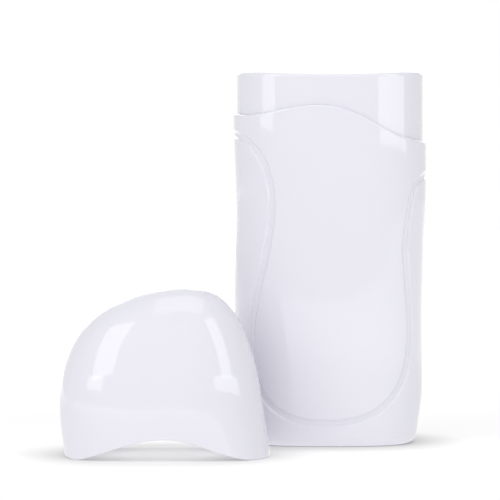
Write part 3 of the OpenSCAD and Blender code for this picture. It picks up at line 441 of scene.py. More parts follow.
# %% Build one half
def half_shell(name, rear):
    """Front or rear half of the housing. It is built in front and mirrored for the rear."""
    turn = shell_turns(1.2, 0.6, 13 if rear else 0)
    inner_count = 150 if rear else 50
    rows, outside, inside = shell_rows(turn, 0.6 if rear else 1.2, inner_count)
    bm = bmesh.new()
    on_skin, on_wall, at_end = (bm.verts.layers.float.new(n) for n in ("on_skin", "on_wall", "at_end"))
    made = add_grid(bm, rows, ring=False)
    for i in range(1, len(turn)):
        bm.faces.new((made[-1][i - 1], made[-1][i], made[0][i], made[0][i - 1]))
    for k, row in enumerate(made):
        for vert in row:
            vert[on_skin] = float(k < outside)
            vert[on_wall] = float(inside <= k < inside + inner_count)
        row[0][at_end] = row[-1][at_end] = 1.0

    cut_outline(bm, "groove", groove_distance(places(bm), groove), groove_levels, on_skin)
    for k, (outline, seat) in enumerate(seats if rear else ()):
        cut_outline(bm, f"seat{k}", outline(places(bm)), (0.0, -0.05), on_skin)
    for k, (outline, edge_r) in enumerate(holes if rear else ()):
        levels = sorted({e for e, _ in fillet(edge_r, 0, 30, 60, 90)})
        cut_outline(bm, f"hole{k}", outline(places(bm)), levels, on_skin, on_wall)
    merge(bm, 0.02)

    # Move the skin: into the groove, round the seam's edge, down to the seats.
    points = places(bm)
    skinned = stored(bm, "on_skin") > 0.5
    drop = np.where(skinned, groove_drop(groove_distance(points, groove)), 0)
    drop *= np.interp(np.abs(points[:, 1]), (0, run_out), (seam_share, 1))
    seam = np.abs(points[:, 1]) - seam_gap / 2
    by_seam = (skinned | (points[:, 2] > plain_z)) & (stored(bm, "on_wall") < 0.5)
    by_seam &= (seam < seam_r) & (np.abs(points[:, 0]) > neck_a + 0.1)
    drop += np.where(by_seam, rolled_edge(seam, seam_r), 0)
    size = np.array([body_w, body_d, math.inf])
    out = signed_power(points / size, squareness - 1) / size
    moved = points - out * (drop / lengths(out))[:, None]
    for k, (outline, seat) in enumerate(seats if rear else ()):
        sunk = skinned & (stored(bm, f"seat{k}") < -0.03)
        moved[sunk, 1] = np.maximum(moved[sunk, 1], -seat)
    for k, (outline, edge_r) in enumerate(holes if rear else ()):
        d = stored(bm, f"hole{k}")
        near = skinned & (d > -1e-4) & (d < edge_r)
        moved[near, 1] += rolled_edge(d[near], edge_r)
    moved[stored(bm, "at_end") > 0.5, 1] = -seam_gap / 2
    for vert, p in zip(bm.verts, moved):
        vert.co = p

    # Open the holes and join their two edges, then close the ends at the seam.
    for k in range(len(holes) if rear else 0):
        open_through(bm, f"hole{k}", on_skin, on_wall)
    bmesh.ops.edgeloop_fill(bm, edges=[e for e in bm.edges if e.is_boundary])
    if rear:
        bmesh.ops.scale(bm, vec=(1, -1, 1), verts=bm.verts)
    return piece_from(name, bm)


front_skin = half_shell("front_shell_moulding", rear=False)
rear_skin = half_shell("rear_shell_moulding", rear=True)

# %% [markdown]
# ## The cap
# The dome's width, depth and height each follow the same rule with its own power, so the left
# side is rounder than the right. The skirt below it is straight, and its wavy edge follows the
# lip. It is built in its closed place, outside and inside in one run of rows, and then leant
# and moved to where it stands.

# %% Rows of the cap
cap_rise, cap_top_x, cap_wall, cap_clearance, cap_gap, cap_swell = 37.7, 6.5, 1.8, 0.15, 0.4, 0.2
closed_h, spring_z = body_h + cap_rise, body_h - 8.7
cap_left, cap_right, cap_depth = body_w / 2 + cap_swell, body_w / 2, body_d / 2
cap_edge_r, cap_inner_r, upper_skirt_z = 0.35, 0.3, body_h + 0.9


def even_turns(count):
    """Angles from 0 round to 360 degrees whose points lie evenly along the oval."""
    turn = np.linspace(0, 2 * math.pi, 4001)
    run = run_along(inner_ring(body_w / 2, body_d / 2, turn, 0))
    return np.interp(np.linspace(0, run[-1], count + 1), run, turn)


full_turn = even_turns(192)
ring_turn = full_turn[:-1]


def edge_z(x):
    """Height of the cap's wavy edge above a place across the width, when closed."""
    return lip_z(x) + cap_gap


def dome_ring(h, e, turn):
    """Ring of the dome at a share h of its height, set in by e."""
    left, right, depth = (size * np.maximum(0, 1 - h**p) ** (1 / p) for size, p in (
        (cap_left + cap_top_x - e, 2.3), (cap_right - cap_top_x - e, 2.75), (cap_depth - e, 2.4)))
    return xyz(*oval(cap_top_x - left, cap_top_x + right, depth, turn),
               spring_z + (closed_h - spring_z - e) * h)


def skirt_ring(left, right, depth, top, share, turn, lift=0.0):
    """Ring of the skirt at a share of the way from the wavy edge up to a height."""
    x, y = oval(-left, right, depth, turn)
    low = edge_z(x) + lift
    return xyz(x, y, low + (top - low) * share)


def cap_rows(turn):
    """Rows from the top of the outside, down, under the edge and up the inside."""
    levels = np.sin(np.radians(np.linspace(88.5, 1.5, 64))) ** (2 / 2.5)
    rows = [dome_ring(h, 0, turn) for h in levels]
    rows += [skirt_ring(cap_left, cap_right, cap_depth, spring_z, s, turn, cap_edge_r)
             for s in (*np.linspace(1, 0.08, 13), 0.02, 0)]
    rows += [skirt_ring(cap_left - e, cap_right - e, cap_depth - e, spring_z, 0, turn, up)
             for e, up in fillet(cap_edge_r, 30, 60, 90)]
    a, b = neck_a + cap_clearance, neck_b + cap_clearance
    rows += [skirt_ring(a + e, a + e, b + e, spring_z, 0, turn, up)
             for e, up in fillet(cap_inner_r, 90, 60, 30, 0)]
    rows += [skirt_ring(a, a, b, upper_skirt_z, s, turn) for s in (0.35, 0.7, 1)]
    return rows + [dome_ring(h, cap_wall, turn) for h in levels[::-1] if h > 0.33]


# %% Where the cap stands
edge_mid = float(edge_z(0.0))
across = np.linspace(0, body_w / 2, 61)


def leant(x, z, lean):
    """Place across and height of a point, above the middle of the edge, once the cap leans."""
    return x * math.cos(lean) - z * math.sin(lean), x * math.sin(lean) + z * math.cos(lean)


def lowest(side, lean):
    """Lowest point of one half of the edge when the cap leans."""
    return leant(side * across, edge_z(side * across), lean)[1].min()


low, high = 0.0, math.radians(25)
for halving in range(40):
    lean = (low + high) / 2
    low, high = (lean, high) if lowest(-1, lean) > lowest(1, lean) else (low, lean)
cap_x, cap_y = 11.5 - body_w, 4.0 - body_d
cap_place = (cap_x, cap_y, edge_mid * math.cos(lean) - lowest(1, lean))


def stand(points):
    """Takes points from the closed cap to where it stands."""
    x, z = leant(points[:, 0], points[:, 2] - edge_mid, lean)
    moved = xyz(x, points[:, 1], z) + cap_place
    moved[:, 2] = np.maximum(moved[:, 2], 0)
    return moved


def build_cap():
    """The whole cap as one closed shell."""
    bm = bmesh.new()
    made = add_grid(bm, [stand(r) for r in cap_rows(ring_turn)], ring=True)
    for row, e in ((made[0], 0), (made[-1], cap_wall)):
        tip = bm.verts.new(stand(dome_ring(1.0, e, np.zeros(1)))[0])
        for i in range(len(row)):
            bm.faces.new((row[i], row[(i + 1) % len(row)], tip))
    return piece_from("cap_moulding", bm)


cap_skin = build_cap()
print("the cap leans", round(math.degrees(lean), 2), "degrees")

# %% [markdown]
# ## Nodes, with one helper
# Materials and Geometry Nodes are both trees of nodes. One small function adds a node, sets
# its properties and fills its inputs: a socket or another node is linked, anything else becomes
# the input's value. The rest are short names for the nodes that come up again and again.

# %% Add a node
def add_node(tree, kind, inputs=None, **settings):
    """Adds a node. Each input is linked to a socket or a node's first output, or set to a value."""
    node = tree.nodes.new(kind)
    for name, setting in settings.items():
        setattr(node, name, setting)
    for key, given in (inputs or {}).items():
        if isinstance(given, bpy.types.Node):
            given = given.outputs[0]
        if isinstance(given, bpy.types.NodeSocket):
            tree.links.new(given, node.inputs[key])
        else:
            node.inputs[key].default_value = given
    return node


def calc(tree, operation, *values, **settings):
    """Maths node with its values in order."""
    return add_node(tree, "ShaderNodeMath", dict(enumerate(values)), operation=operation, **settings)


def vector(tree, x=0.0, y=0.0, z=0.0):
    """Vector from three numbers."""
    return add_node(tree, "ShaderNodeCombineXYZ", {"X": x, "Y": y, "Z": z})


def axes(tree, place):
    """The three numbers of a vector."""
    return add_node(tree, "ShaderNodeSeparateXYZ", {"Vector": place}).outputs


def new_tree(name, sizes):
    """Geometry Nodes tree with named sizes and a finish. Returns it, its inputs and their identifiers."""
    tree = bpy.data.node_groups.new(name, "GeometryNodeTree")
    tree.interface.new_socket("Geometry", in_out="OUTPUT", socket_type="NodeSocketGeometry")
    kinds = {"Geometry": "NodeSocketGeometry", **dict.fromkeys(sizes, "NodeSocketFloat"),
             "Finish": "NodeSocketMaterial"}
    identifiers = {
        label: tree.interface.new_socket(label, in_out="INPUT", socket_type=kind).identifier
        for label, kind in kinds.items()}
    return tree, add_node(tree, "NodeGroupInput").outputs, identifiers


def close_tree(tree, geometry, material):
    """Gives the result its material and links it to the output."""
    painted = add_node(tree, "GeometryNodeSetMaterial", {"Geometry": geometry, "Material": material})
    add_node(tree, "NodeGroupOutput", {"Geometry": painted})


def run_tree(name, mesh, tree, identifiers, values):
    """Puts a tree on a mesh, sets its inputs and returns the result as a plain mesh."""
    carrier = put(name, mesh)
    modifier = carrier.modifiers.new("shape", "NODES")
    modifier.node_group = tree
    for label, given in values.items():
        modifier[identifiers[label]] = given
    depsgraph = bpy.context.evaluated_depsgraph_get()
    result = bpy.data.meshes.new_from_object(carrier.evaluated_get(depsgraph))
    result.name = name
    carrier.modifiers.remove(modifier)
    bpy.data.objects.remove(carrier)
    return result


# %% [markdown]
# ## Moulded ABS
# ABS is the plastic of most appliance housings. From a polished mould it comes out glossy, so
# it mirrors the studio's lamps as sharp-edged bright strips. Up close it isn't perfect: the
# wall shrinks a little as it cools, which bends those reflections, and the surface has a very
# fine ripple. Both are bumps here, with their real spacing, and the gloss varies slightly
# where hands have touched it. The real heights are a few thousandths of a millimetre, and the
# bumps are drawn about ten times as high.

# %% Colour helper and moulded plastic
def linear(hex_colour):
    """Linear colour from an sRGB hex value."""
    shares = [int(hex_colour[i:i + 2], 16) / 255 for i in (1, 3, 5)]
    return [v / 12.92 if v <= 0.04045 else ((v + 0.055) / 1.055) ** 2.4 for v in shares] + [1.0]


def start_material(name):
    """Empty material with its tree and its object coordinates."""
    material = bpy.data.materials.new(name)
    material.use_nodes = True
    tree = material.node_tree
    tree.nodes.clear()
    return material, tree, add_node(tree, "ShaderNodeTexCoord").outputs["Object"]


def noise(tree, place, spacing_mm, detail=2.0):
    """Noise from 0 to 1 with a real spacing."""
    return add_node(tree, "ShaderNodeTexNoise", {
        "Vector": place, "Scale": 1 / (spacing_mm * MM), "Detail": detail})


def tinted(tree, share, colours):
    """Colour between two near ones."""
    return add_node(tree, "ShaderNodeMix", {
        "Factor": share, 6: linear(colours[0]), 7: linear(colours[1])}, data_type="RGBA").outputs[2]


def ranged(tree, value, results, low=0.35, high=0.65):
    """Turns values from low to high into a range of results. Noise stays mostly in 0.35 to 0.65."""
    return add_node(tree, "ShaderNodeMapRange", {
        "Value": value, "From Min": low, "From Max": high, "To Min": results[0], "To Max": results[1]})


def bump(tree, height, distance_mm, **under):
    """Bump of a height in millimetres, on top of another one if that is given as Normal."""
    return add_node(tree, "ShaderNodeBump", {
        "Height": height, "Distance": distance_mm * MM, "Strength": 1.0, **under})


def finish(tree, inputs):
    """Puts the Principled shader with these inputs on the output."""
    shader = add_node(tree, "ShaderNodeBsdfPrincipled", inputs)
    add_node(tree, "ShaderNodeOutputMaterial", {"Surface": shader})


def moulded_plastic(name, colours, gloss, wave=(16, 0.04), grain=(0.9, 0.006), ior=1.54):
    """Moulded plastic. Its wave and its grain are each a spacing and a height in millimetres."""
    material, tree, place = start_material(name)
    bend = bump(tree, noise(tree, place, wave[0], 1.0), wave[1])
    finish(tree, {
        "Base Color": tinted(tree, noise(tree, place, 30), colours),
        "Roughness": ranged(tree, noise(tree, place, 9, 4.0), gloss), "IOR": ior,
        "Normal": bump(tree, noise(tree, place, grain[0]), grain[1], Normal=bend)})
    return material


white_abs = moulded_plastic("glossy moulded ABS", ("#e3e2eb", "#e5e4ec"), (0.015, 0.035),
                            wave=(30, 0.08), grain=(0.9, 0.001))
black_pbt = moulded_plastic("fine-grained moulded PBT", ("#17181a", "#1d1e20"), (0.35, 0.5),
                            wave=(16, 0.01), grain=(0.35, 0.02))
print("plastics:", white_abs.name, "and", black_pbt.name)

# %% [markdown]
# ## Metals, clear plastics, ceramics and insulation
# The inner parts are bought-in ones, and each keeps the look of how it is made. Rolling and
# drawing leave fine lines along one direction, so a noise stretched along it bends the
# reflections. Zinc plating clouds a little, fired ceramic is speckled, and a moulded clear
# plastic is nearly perfect but for a faint ripple. Line spacings under about 0.1 mm wouldn't
# show, so they are drawn about three times as coarse as they really are.

# %% Worked metal
def worked_metal(name, colours, gloss, line_mm, stretch=(1.0, 1.0, 1.0), height=0.002):
    """Metal with two near colours, a range of roughness, and lines or mottling of a real size."""
    material, tree, place = start_material(name)
    along = add_node(tree, "ShaderNodeMapping", {"Vector": place, "Scale": stretch})
    lines = noise(tree, along, line_mm, 3.0)
    finish(tree, {
        "Base Color": tinted(tree, noise(tree, place, 4, 3.0), colours), "Metallic": 1.0,
        "Roughness": ranged(tree, lines, gloss, 0.3, 0.7), "Normal": bump(tree, lines, height)})
    return material


drawn_aluminium = worked_metal("satin drawn aluminium", ("#c9cacb", "#d6d7d8"), (0.22, 0.38),
                               0.35, (1.0, 1.0, 0.04), 0.02)
zinc_steel = worked_metal("zinc-plated steel", ("#b9bcc2", "#c6c8c6"), (0.25, 0.4), 0.5, height=0.005)
spring_steel = worked_metal("rolled spring steel", ("#8d8f92", "#9b9da0"), (0.28, 0.42), 0.3,
                            (0.05, 1.0, 1.0), 0.01)
rolled_brass = worked_metal("rolled brass", ("#c9a861", "#d6b976"), (0.25, 0.4), 0.3,
                            (1.0, 1.0, 0.05), 0.01)
nickel_brass = worked_metal("nickel-plated brass", ("#c4c3c0", "#d0cfcc"), (0.12, 0.2), 0.8)
print("metals:", [m.name for m in (drawn_aluminium, zinc_steel, spring_steel, rolled_brass, nickel_brass)])


# %% Clear plastic
def clear_plastic(name, colour, rough, ior, ripple_mm=3.0):
    """Clear or tinted moulded plastic with a faint ripple from the mould."""
    material, tree, place = start_material(name)
    flow = noise(tree, place, ripple_mm)
    finish(tree, {
        "Base Color": linear(colour), "Roughness": ranged(tree, flow, (rough, rough * 1.6)),
        "IOR": ior, "Transmission Weight": 1.0, "Normal": bump(tree, flow, 0.005)})
    return material


clear_pc = clear_plastic("moulded clear polycarbonate", "#eef3f4", 0.05, 1.585)
red_lens = clear_plastic("moulded red acrylic", "#e8554a", 0.06, 1.49, 1.0)
amber_film = clear_plastic("polyimide film", "#c98a2b", 0.12, 1.7, 1.5)
print("clear:", [m.name for m in (clear_pc, red_lens, amber_film)])


# %% Fired and cast bodies, and board
def speckled_body(name, colours, gloss, speck_mm, height, ior=1.5, coat=0.0):
    """Fired, cast or coated body: small specks between two colours, with a matching bump."""
    material, tree, place = start_material(name)
    specks = add_node(tree, "ShaderNodeTexVoronoi", {
        "Vector": place, "Scale": 1 / (speck_mm * MM)})
    finish(tree, {
        "Base Color": tinted(tree, specks, colours), "IOR": ior, "Coat Weight": coat,
        "Roughness": ranged(tree, noise(tree, place, 2.5 * speck_mm, 3.0), gloss),
        "Normal": bump(tree, specks, height)})
    return material


dark_ceramic = speckled_body("fired titanate ceramic", ("#3c3a38", "#4a4745"), (0.5, 0.7), 0.4, 0.01)
cream_ceramic = speckled_body("fired steatite", ("#e0d6b8", "#e9e1c8"), (0.35, 0.5), 0.3, 0.004)
phenolic = speckled_body("pressed phenolic", ("#242427", "#313134"), (0.4, 0.55), 0.5, 0.006)
green_board = speckled_body("epoxy board under solder mask", ("#1b5a34", "#22673c"), (0.25, 0.35),
                            0.6, 0.004, coat=0.4)
red_epoxy = speckled_body("cast red epoxy", ("#b8241c", "#c52d23"), (0.08, 0.15), 0.8, 0.001, 1.55)

# %% Woven sleeve and banded resistor
glass_braid, tree, place = start_material("varnished glass-fibre braid")
thread_mm, braid_height, band_share = 0.8, 0.1, 0.05
threads = []
for slant in (math.radians(45), math.radians(-45)):
    turned = add_node(tree, "ShaderNodeMapping", {"Vector": place, "Rotation": (0.0, slant, 0.0)})
    threads.append(add_node(tree, "ShaderNodeTexWave", {
        "Vector": turned, "Scale": 0.314 / (thread_mm * MM)}).outputs["Fac"])
braid = calc(tree, "MULTIPLY", *threads)
finish(tree, {"Base Color": tinted(tree, braid, ("#c8c6b8", "#ecebe0")), "Roughness": 0.6,
              "Normal": bump(tree, braid, braid_height)})

lacquer, tree, place = start_material("lacquered resistor")
resistor_middle, resistor_half = node_middle("series_resistor")
ends = [(resistor_middle.x + side * resistor_half.x) * MM for side in (-1, 1)]
along = ranged(tree, axes(tree, place)["X"], (0, 1), *ends)
ramp = add_node(tree, "ShaderNodeValToRGB", {"Fac": along})
ramp.color_ramp.interpolation = "CONSTANT"
ground = linear("#c8a878")
ramp.color_ramp.elements[0].color = ramp.color_ramp.elements[1].color = ground
for start, colour in ((0.28, "#7a4a22"), (0.4, "#1d1b1a"), (0.52, "#c47a20"), (0.66, "#b8963c")):
    ramp.color_ramp.elements.new(start).color = linear(colour)
    ramp.color_ramp.elements.new(start + band_share).color = ground
finish(tree, {"Base Color": ramp, "Roughness": 0.25})
print("woven and banded:", glass_braid.name, "and", lacquer.name)

# %% Moulded colours and wire insulation
red_abs = moulded_plastic("glossy moulded red ABS", ("#b3181b", "#bd1d1f"), (0.12, 0.2))
wires = {
    colour: moulded_plastic(f"extruded {colour} silicone rubber", tones, (0.4, 0.55),
                            wave=(16, 0.02), grain=(0.5, 0.02), ior=1.43)
    for colour, tones in (("brown", ("#5a3318", "#633a1d")), ("white", ("#dcdcd6", "#e4e4de")),
                          ("blue", ("#24509a", "#2b59a4")), ("red", ("#a3201e", "#ad2826")))}
print("insulation:", sorted(wires))

# %% [markdown]
# ## The neck collar
# The collar that the cap slides over is an oval tube with a rounded rim, which dips a little in
# the middle of the front and rear. Its shape follows one rule, so Geometry Nodes make it: a
# flat strip, as long as a full turn and as high as the wall's outline, is rolled round the
# oval. Each size of the rule is a named input, so the same tree could roll another collar.

# %% Tree that rolls a strip into a collar
roll_tree, size, roll_sockets = new_tree("roll a strip round an oval", (
    "Half width", "Half depth", "Squareness", "Foot", "Height", "Sag"))
do = partial(calc, roll_tree)
strip = axes(roll_tree, add_node(roll_tree, "GeometryNodeInputPosition"))
power = do("DIVIDE", 2.0, size["Squareness"])
sides = []
for wave, half in (("COSINE", "Half width"), ("SINE", "Half depth")):
    turned = do(wave, strip["X"])
    signed = do("MULTIPLY", do("SIGN", turned), do("POWER", do("ABSOLUTE", turned), power))
    sides.append(do("MULTIPLY", signed, do("SUBTRACT", size[half], strip["Y"])))
share = do("DIVIDE", sides[0], size["Half width"])
dip = do("SUBTRACT", 1.0, do("MULTIPLY", share, share), use_clamp=True)
dip = do("DIVIDE", do("MULTIPLY", dip, size["Sag"]), size["Height"])
level = do("MULTIPLY_ADD", strip["Z"], do("SUBTRACT", 1.0, dip), size["Foot"])
moved = add_node(roll_tree, "GeometryNodeSetPosition", {
    "Geometry": size["Geometry"], "Position": vector(roll_tree, *sides, level)})
joined = add_node(roll_tree, "GeometryNodeMergeByDistance", {"Geometry": moved, "Distance": 0.01})
close_tree(roll_tree, joined, size["Finish"])
print("collar tree:", len(roll_tree.nodes), "nodes, inputs", sorted(roll_sockets))

# %% Roll the collar and add its deck
neck_in_a, neck_in_b = neck_a - neck_wall, neck_b - neck_wall
well_a, well_b, well_r, well_wall, well_z = neck_in_a - 3.6, neck_in_b - 3.6, 12.2, 1.2, 34.8
rim_outer_r, rim_inner_r, deck_gap, boss_r, boss_h = 1.3, 0.6, 0.5, 1.7, 4
arc = range(0, 91, 15)


def collar_outline(height):
    """Outline of the collar's wall as (inset, height), up the outside and down the inside."""
    edge = height - rim_outer_r - 0.2
    return [(0, 0), (0, edge / 2), (0, edge), *((e, height - up) for e, up in fillet(rim_outer_r, *arc)),
            *((neck_wall - up, height - e) for e, up in fillet(rim_inner_r, *arc)),
            (neck_wall, edge), (neck_wall, edge / 2), (neck_wall, 0), (0, 0)]


def box_ring(a, b, corner, z):
    """Ring of an upright box with round corners, on the same rays as the oval's points."""
    x, y = oval(-a, a, b, ring_turn)
    outline = box_outline(0.0, a, b, corner)
    low, high = np.zeros(len(x)), np.full(len(x), 1.5)
    for halving in range(30):
        share = (low + high) / 2
        beyond = outline(xyz(x * share, 0, y * share)) > 0
        low, high = np.where(beyond, low, share), np.where(beyond, share, high)
    return xyz(x * share, y * share, z)


def build_collar():
    """The collar with its deck, which has an opening for the well and a boss for each screw."""
    foot = sleeve_z + fit
    outline = collar_outline(body_h - foot)
    bm = bmesh.new()
    add_grid(bm, [[(t, inset, height) for t in full_turn] for inset, height in outline], ring=False)
    strip_mesh = bpy.data.meshes.new("flat strip")
    bm.to_mesh(strip_mesh)
    bm.clear()
    bm.from_mesh(run_tree("neck_collar", strip_mesh, roll_tree, roll_sockets, {
        "Half width": neck_a, "Half depth": neck_b, "Squareness": squareness, "Foot": foot,
        "Height": body_h - foot, "Sag": rim_sag, "Finish": white_abs}))
    under, g = deck_z - deck_t, deck_gap
    outside = [inner_ring(neck_in_a + g, neck_in_b + g, ring_turn, z) for z in (under, deck_z)]
    opening = [box_ring(well_a + g, well_b + g, well_r + g, z) for z in (deck_z, under)]
    add_grid(bm, outside + opening + outside[:1], ring=True)
    for side in (-1, 1):
        place = Matrix.Translation((side * ((neck_in_a + well_a) / 2 + 0.1), 0, under - boss_h / 2))
        bmesh.ops.create_cone(bm, cap_ends=True, segments=32, radius1=boss_r, radius2=boss_r,
                              depth=boss_h, matrix=place)
    merge(bm)
    return piece_from("neck_collar", bm, white_abs)


collar = build_collar()

# %% [markdown]
# ## The heated well
# The well is deep-drawn from one sheet of aluminium: its corners are round, its mouth rolls
# over into a flange, and a slot in the rear lets the wax be seen through the window. As one
# closed run of rows, down the outside and up the inside, it gets its rolled mouth and round
# foot, and the slot is cut by the same contours as the shell's openings.

# %% Draw the well
def well_rings(*steps):
    """Rings of the well's wall, each set in by the first number at the second as its height."""
    return [box_ring(well_a - e, well_b - e, well_r - e, z) for e, z in steps]


def build_well(mouth_r=0.8, foot_r=2.0, flange_t=1.2, flange_gap=0.3):
    """The well with its flange, as one closed wall."""
    top, flange_under = deck_z + flange_t, deck_z + fit
    walls = np.arange(well_z + foot_r + 1, flange_under, 1.0)
    rows = well_rings(*((up, well_z + e) for e, up in fillet(foot_r, *arc)))
    first_outside, count = len(rows), len(walls)
    rows += well_rings(*((0, z) for z in (*walls, flange_under)))
    rows += [inner_ring(neck_in_a - flange_gap - e, neck_in_b - flange_gap - e, ring_turn, z)
             for e, z in ((0, flange_under), (0, top - 0.3), (0.1, top - 0.1), (0.3, top))]
    rows += well_rings(*((well_wall - up, top - e) for e, up in fillet(mouth_r, *arc)))
    first_inside = len(rows)
    rows += well_rings(*((well_wall, z) for z in walls[::-1]))
    rows += well_rings(*((well_wall + e, well_z + well_wall + up) for e, up in fillet(mouth_r, *arc)))
    bm = bmesh.new()
    on_skin, on_wall = (bm.verts.layers.float.new(name) for name in ("on_skin", "on_wall"))
    made = add_grid(bm, rows, ring=True)
    for ring in (made[0], made[-1]):
        bm.faces.new(ring)
    for layer, first in ((on_skin, first_outside), (on_wall, first_inside)):
        for row in made[first:first + count]:
            for vert in row:
                vert[layer] = float(vert.co.y > 0)
    slot = box_outline(window_middle.z, (window_w - 1) / 2, (window_h + 2) / 2, (window_w - 1) / 2)
    cut_outline(bm, "slot", slot(places(bm)), (0.0,), on_skin, on_wall)
    merge(bm, 0.01)
    open_through(bm, "slot", on_skin, on_wall)
    return piece_from("drawn_well", bm, drawn_aluminium)


well = build_well()

# %% [markdown]
# ## Window and lens
# The window is one clear moulding: a plug that fills the slot flush with the skin, on a flange
# behind the wall. Its front follows the shell's curve, so it is built from rings that shrink
# from the slot's outline to a line in its middle. The lens of the lamp is turned from a short
# profile with a domed end.

# %% Mould the window and the lens
def stadium(half_w, half_h, count=96):
    """Points round an upright slot with round ends, as X and Z. With no width it is a line."""
    arc = np.linspace(0, math.pi, count // 2)
    x, z = half_w * np.cos(arc), half_w * np.sin(arc) + half_h - half_w
    return np.concatenate([x, -x]), np.concatenate([z, -z])


def skin_depth(x, z, inset):
    """Depth of the body's surface, set in, at a place on the rear."""
    half_w, half_d = body_w / 2 - inset, body_d / 2 - depth_inset(z / body_h) - inset
    return half_d * (1 - np.abs(x / half_w) ** squareness) ** (1 / squareness)


def window_rings(sink=0.15, lip=1.8, thick=1.0, edge=0.25):
    """The clear pane's front, plug, flange and back, in one closed run of rings."""
    half_w, half_h, behind = window_w / 2 - panel_gap, window_h / 2 - panel_gap, wall + fit
    steps = [(half_w * (s - 1), sink) for s in np.linspace(0, 0.9, 8)]
    steps += [(-up, sink + e) for e, up in fillet(edge, 0, 30, 60, 90)]
    steps += [(0, behind), (lip, behind)]
    steps += [((half_w + lip) * s - half_w, behind + thick) for s in np.linspace(1, 0, 8)]
    for grow, inset in steps:
        x, z = stadium(half_w + grow, half_h + grow)
        z = z + window_middle.z
        yield xyz(x, skin_depth(x, z, inset), z)


window = ringed("window_pane", list(window_rings()), clear_pc)
lens_back, lens_front = lens_middle.y - lens_half.y, lens_middle.y + lens_half.y
lens_r, flange_r, flange_t, dome_h = 1.5, 2.1, 0.7, 0.7
lens_profile = [(0, lens_back), (flange_r, lens_back), (flange_r, lens_back + flange_t),
                (lens_r, lens_back + flange_t)]
lens_profile += [(lens_r * math.cos(a), lens_front - dome_h + dome_h * math.sin(a))
                 for a in map(math.radians, arc)]
around = np.linspace(0, 2 * math.pi, 48, endpoint=False)
lens = ringed("lamp_lens", [
    xyz(lens_middle.x + r * np.cos(around), y, lens_middle.z + r * np.sin(around))
    for r, y in lens_profile], red_lens)

# %% [markdown]
# ## Screws
# Eleven screws hold the warmer together, in four sizes. One Geometry Nodes tree makes a screw
# from its sizes and stands a copy on each point: the shank is a cylinder whose surface is
# pulled in along a helix, and the head is half a ball pressed into the shape of a pan, with a
# cross cut in it. An attribute on each point says which way that screw is driven.

# %% Tree that drives screws
screw_tree, size, screw_sockets = new_tree("pan-head screws on points", (
    "Shank radius", "Shank length", "Head radius", "Head height", "Pitch"))
add, do, at = (partial(f, screw_tree) for f in (add_node, calc, vector))
thread_depth = 0.4


def times(a, b):
    """Product of two vectors, axis by axis."""
    return add("ShaderNodeVectorMath", {0: a, 1: b}, operation="MULTIPLY")


def raised(geometry, height):
    """Geometry moved up."""
    return add("GeometryNodeTransform", {"Geometry": geometry, "Translation": at(z=height)})


place = add("GeometryNodeInputPosition")
x, y, z = axes(screw_tree, place)
bar = add("GeometryNodeMeshCylinder", {
    "Vertices": 24, "Side Segments": 48, "Radius": size["Shank radius"], "Depth": size["Shank length"]})
bar = raised(bar, do("MULTIPLY", size["Shank length"], 0.5))
turns = do("DIVIDE", do("ARCTAN2", y, x), 2 * math.pi)
phase = do("SUBTRACT", do("DIVIDE", z, size["Pitch"]), turns)
pull = do("MULTIPLY_ADD", do("PINGPONG", phase, 0.5), -thread_depth, 1.0)
shank = add("GeometryNodeSetPosition", {
    "Geometry": bar, "Position": times(place, at(pull, pull, 1.0))})
ball = add("GeometryNodeMeshUVSphere", {"Segments": 32, "Rings": 16, "Radius": 1.0})
pan = at(x, y, do("SQRT", do("MAXIMUM", z, 0.0)))
press = at(size["Head radius"], size["Head radius"], size["Head height"])
head = add("GeometryNodeSetPosition", {"Geometry": ball, "Position": times(pan, press)})
for long, broad in ((1.2, 0.3), (0.3, 1.2)):
    cutter = add("GeometryNodeMeshCube", {"Size": times(at(long, broad, 0.8), press)})
    head = add("GeometryNodeMeshBoolean", {
        "Mesh 1": head, "Mesh 2": raised(cutter, size["Head height"])},
        operation="DIFFERENCE", solver="EXACT")
screw = add("GeometryNodeJoinGeometry", {"Geometry": shank})
screw_tree.links.new(raised(head, size["Shank length"]).outputs[0], screw.inputs["Geometry"])
driven = add("GeometryNodeInputNamedAttribute", {"Name": "axis"}, data_type="FLOAT_VECTOR")
turned = add("FunctionNodeAlignRotationToVector", {"Vector": driven.outputs["Attribute"]}, axis="Z")
placed = add("GeometryNodeInstanceOnPoints", {
    "Points": size["Geometry"], "Instance": screw, "Rotation": turned})
close_tree(screw_tree, add("GeometryNodeRealizeInstances", {"Geometry": placed}), size["Finish"])
print("screw tree:", len(screw_tree.nodes), "nodes, inputs", sorted(screw_sockets))


# %% Drive the screws
def drive_screws(name, tips, shank_r, length, head_r, head_h, pitch):
    """Screws whose tips and directions, from tip to head, are given."""
    points = bpy.data.meshes.new("screw tips")
    points.from_pydata([tip for tip, axis in tips], [], [])
    axis_layer = points.attributes.new("axis", "FLOAT_VECTOR", "POINT")
    for item, (tip, axis) in zip(axis_layer.data, tips):
        item.vector = axis
    mesh = run_tree(name, points, screw_tree, screw_sockets, {
        "Shank radius": shank_r, "Shank length": length, "Head radius": head_r,
        "Head height": head_h, "Pitch": pitch, "Finish": zinc_steel})
    mesh.transform(Matrix.Scale(MM, 4))
    print(name, len(tips), "screws,", len(mesh.polygons), "faces")
    return new_piece(name, mesh)


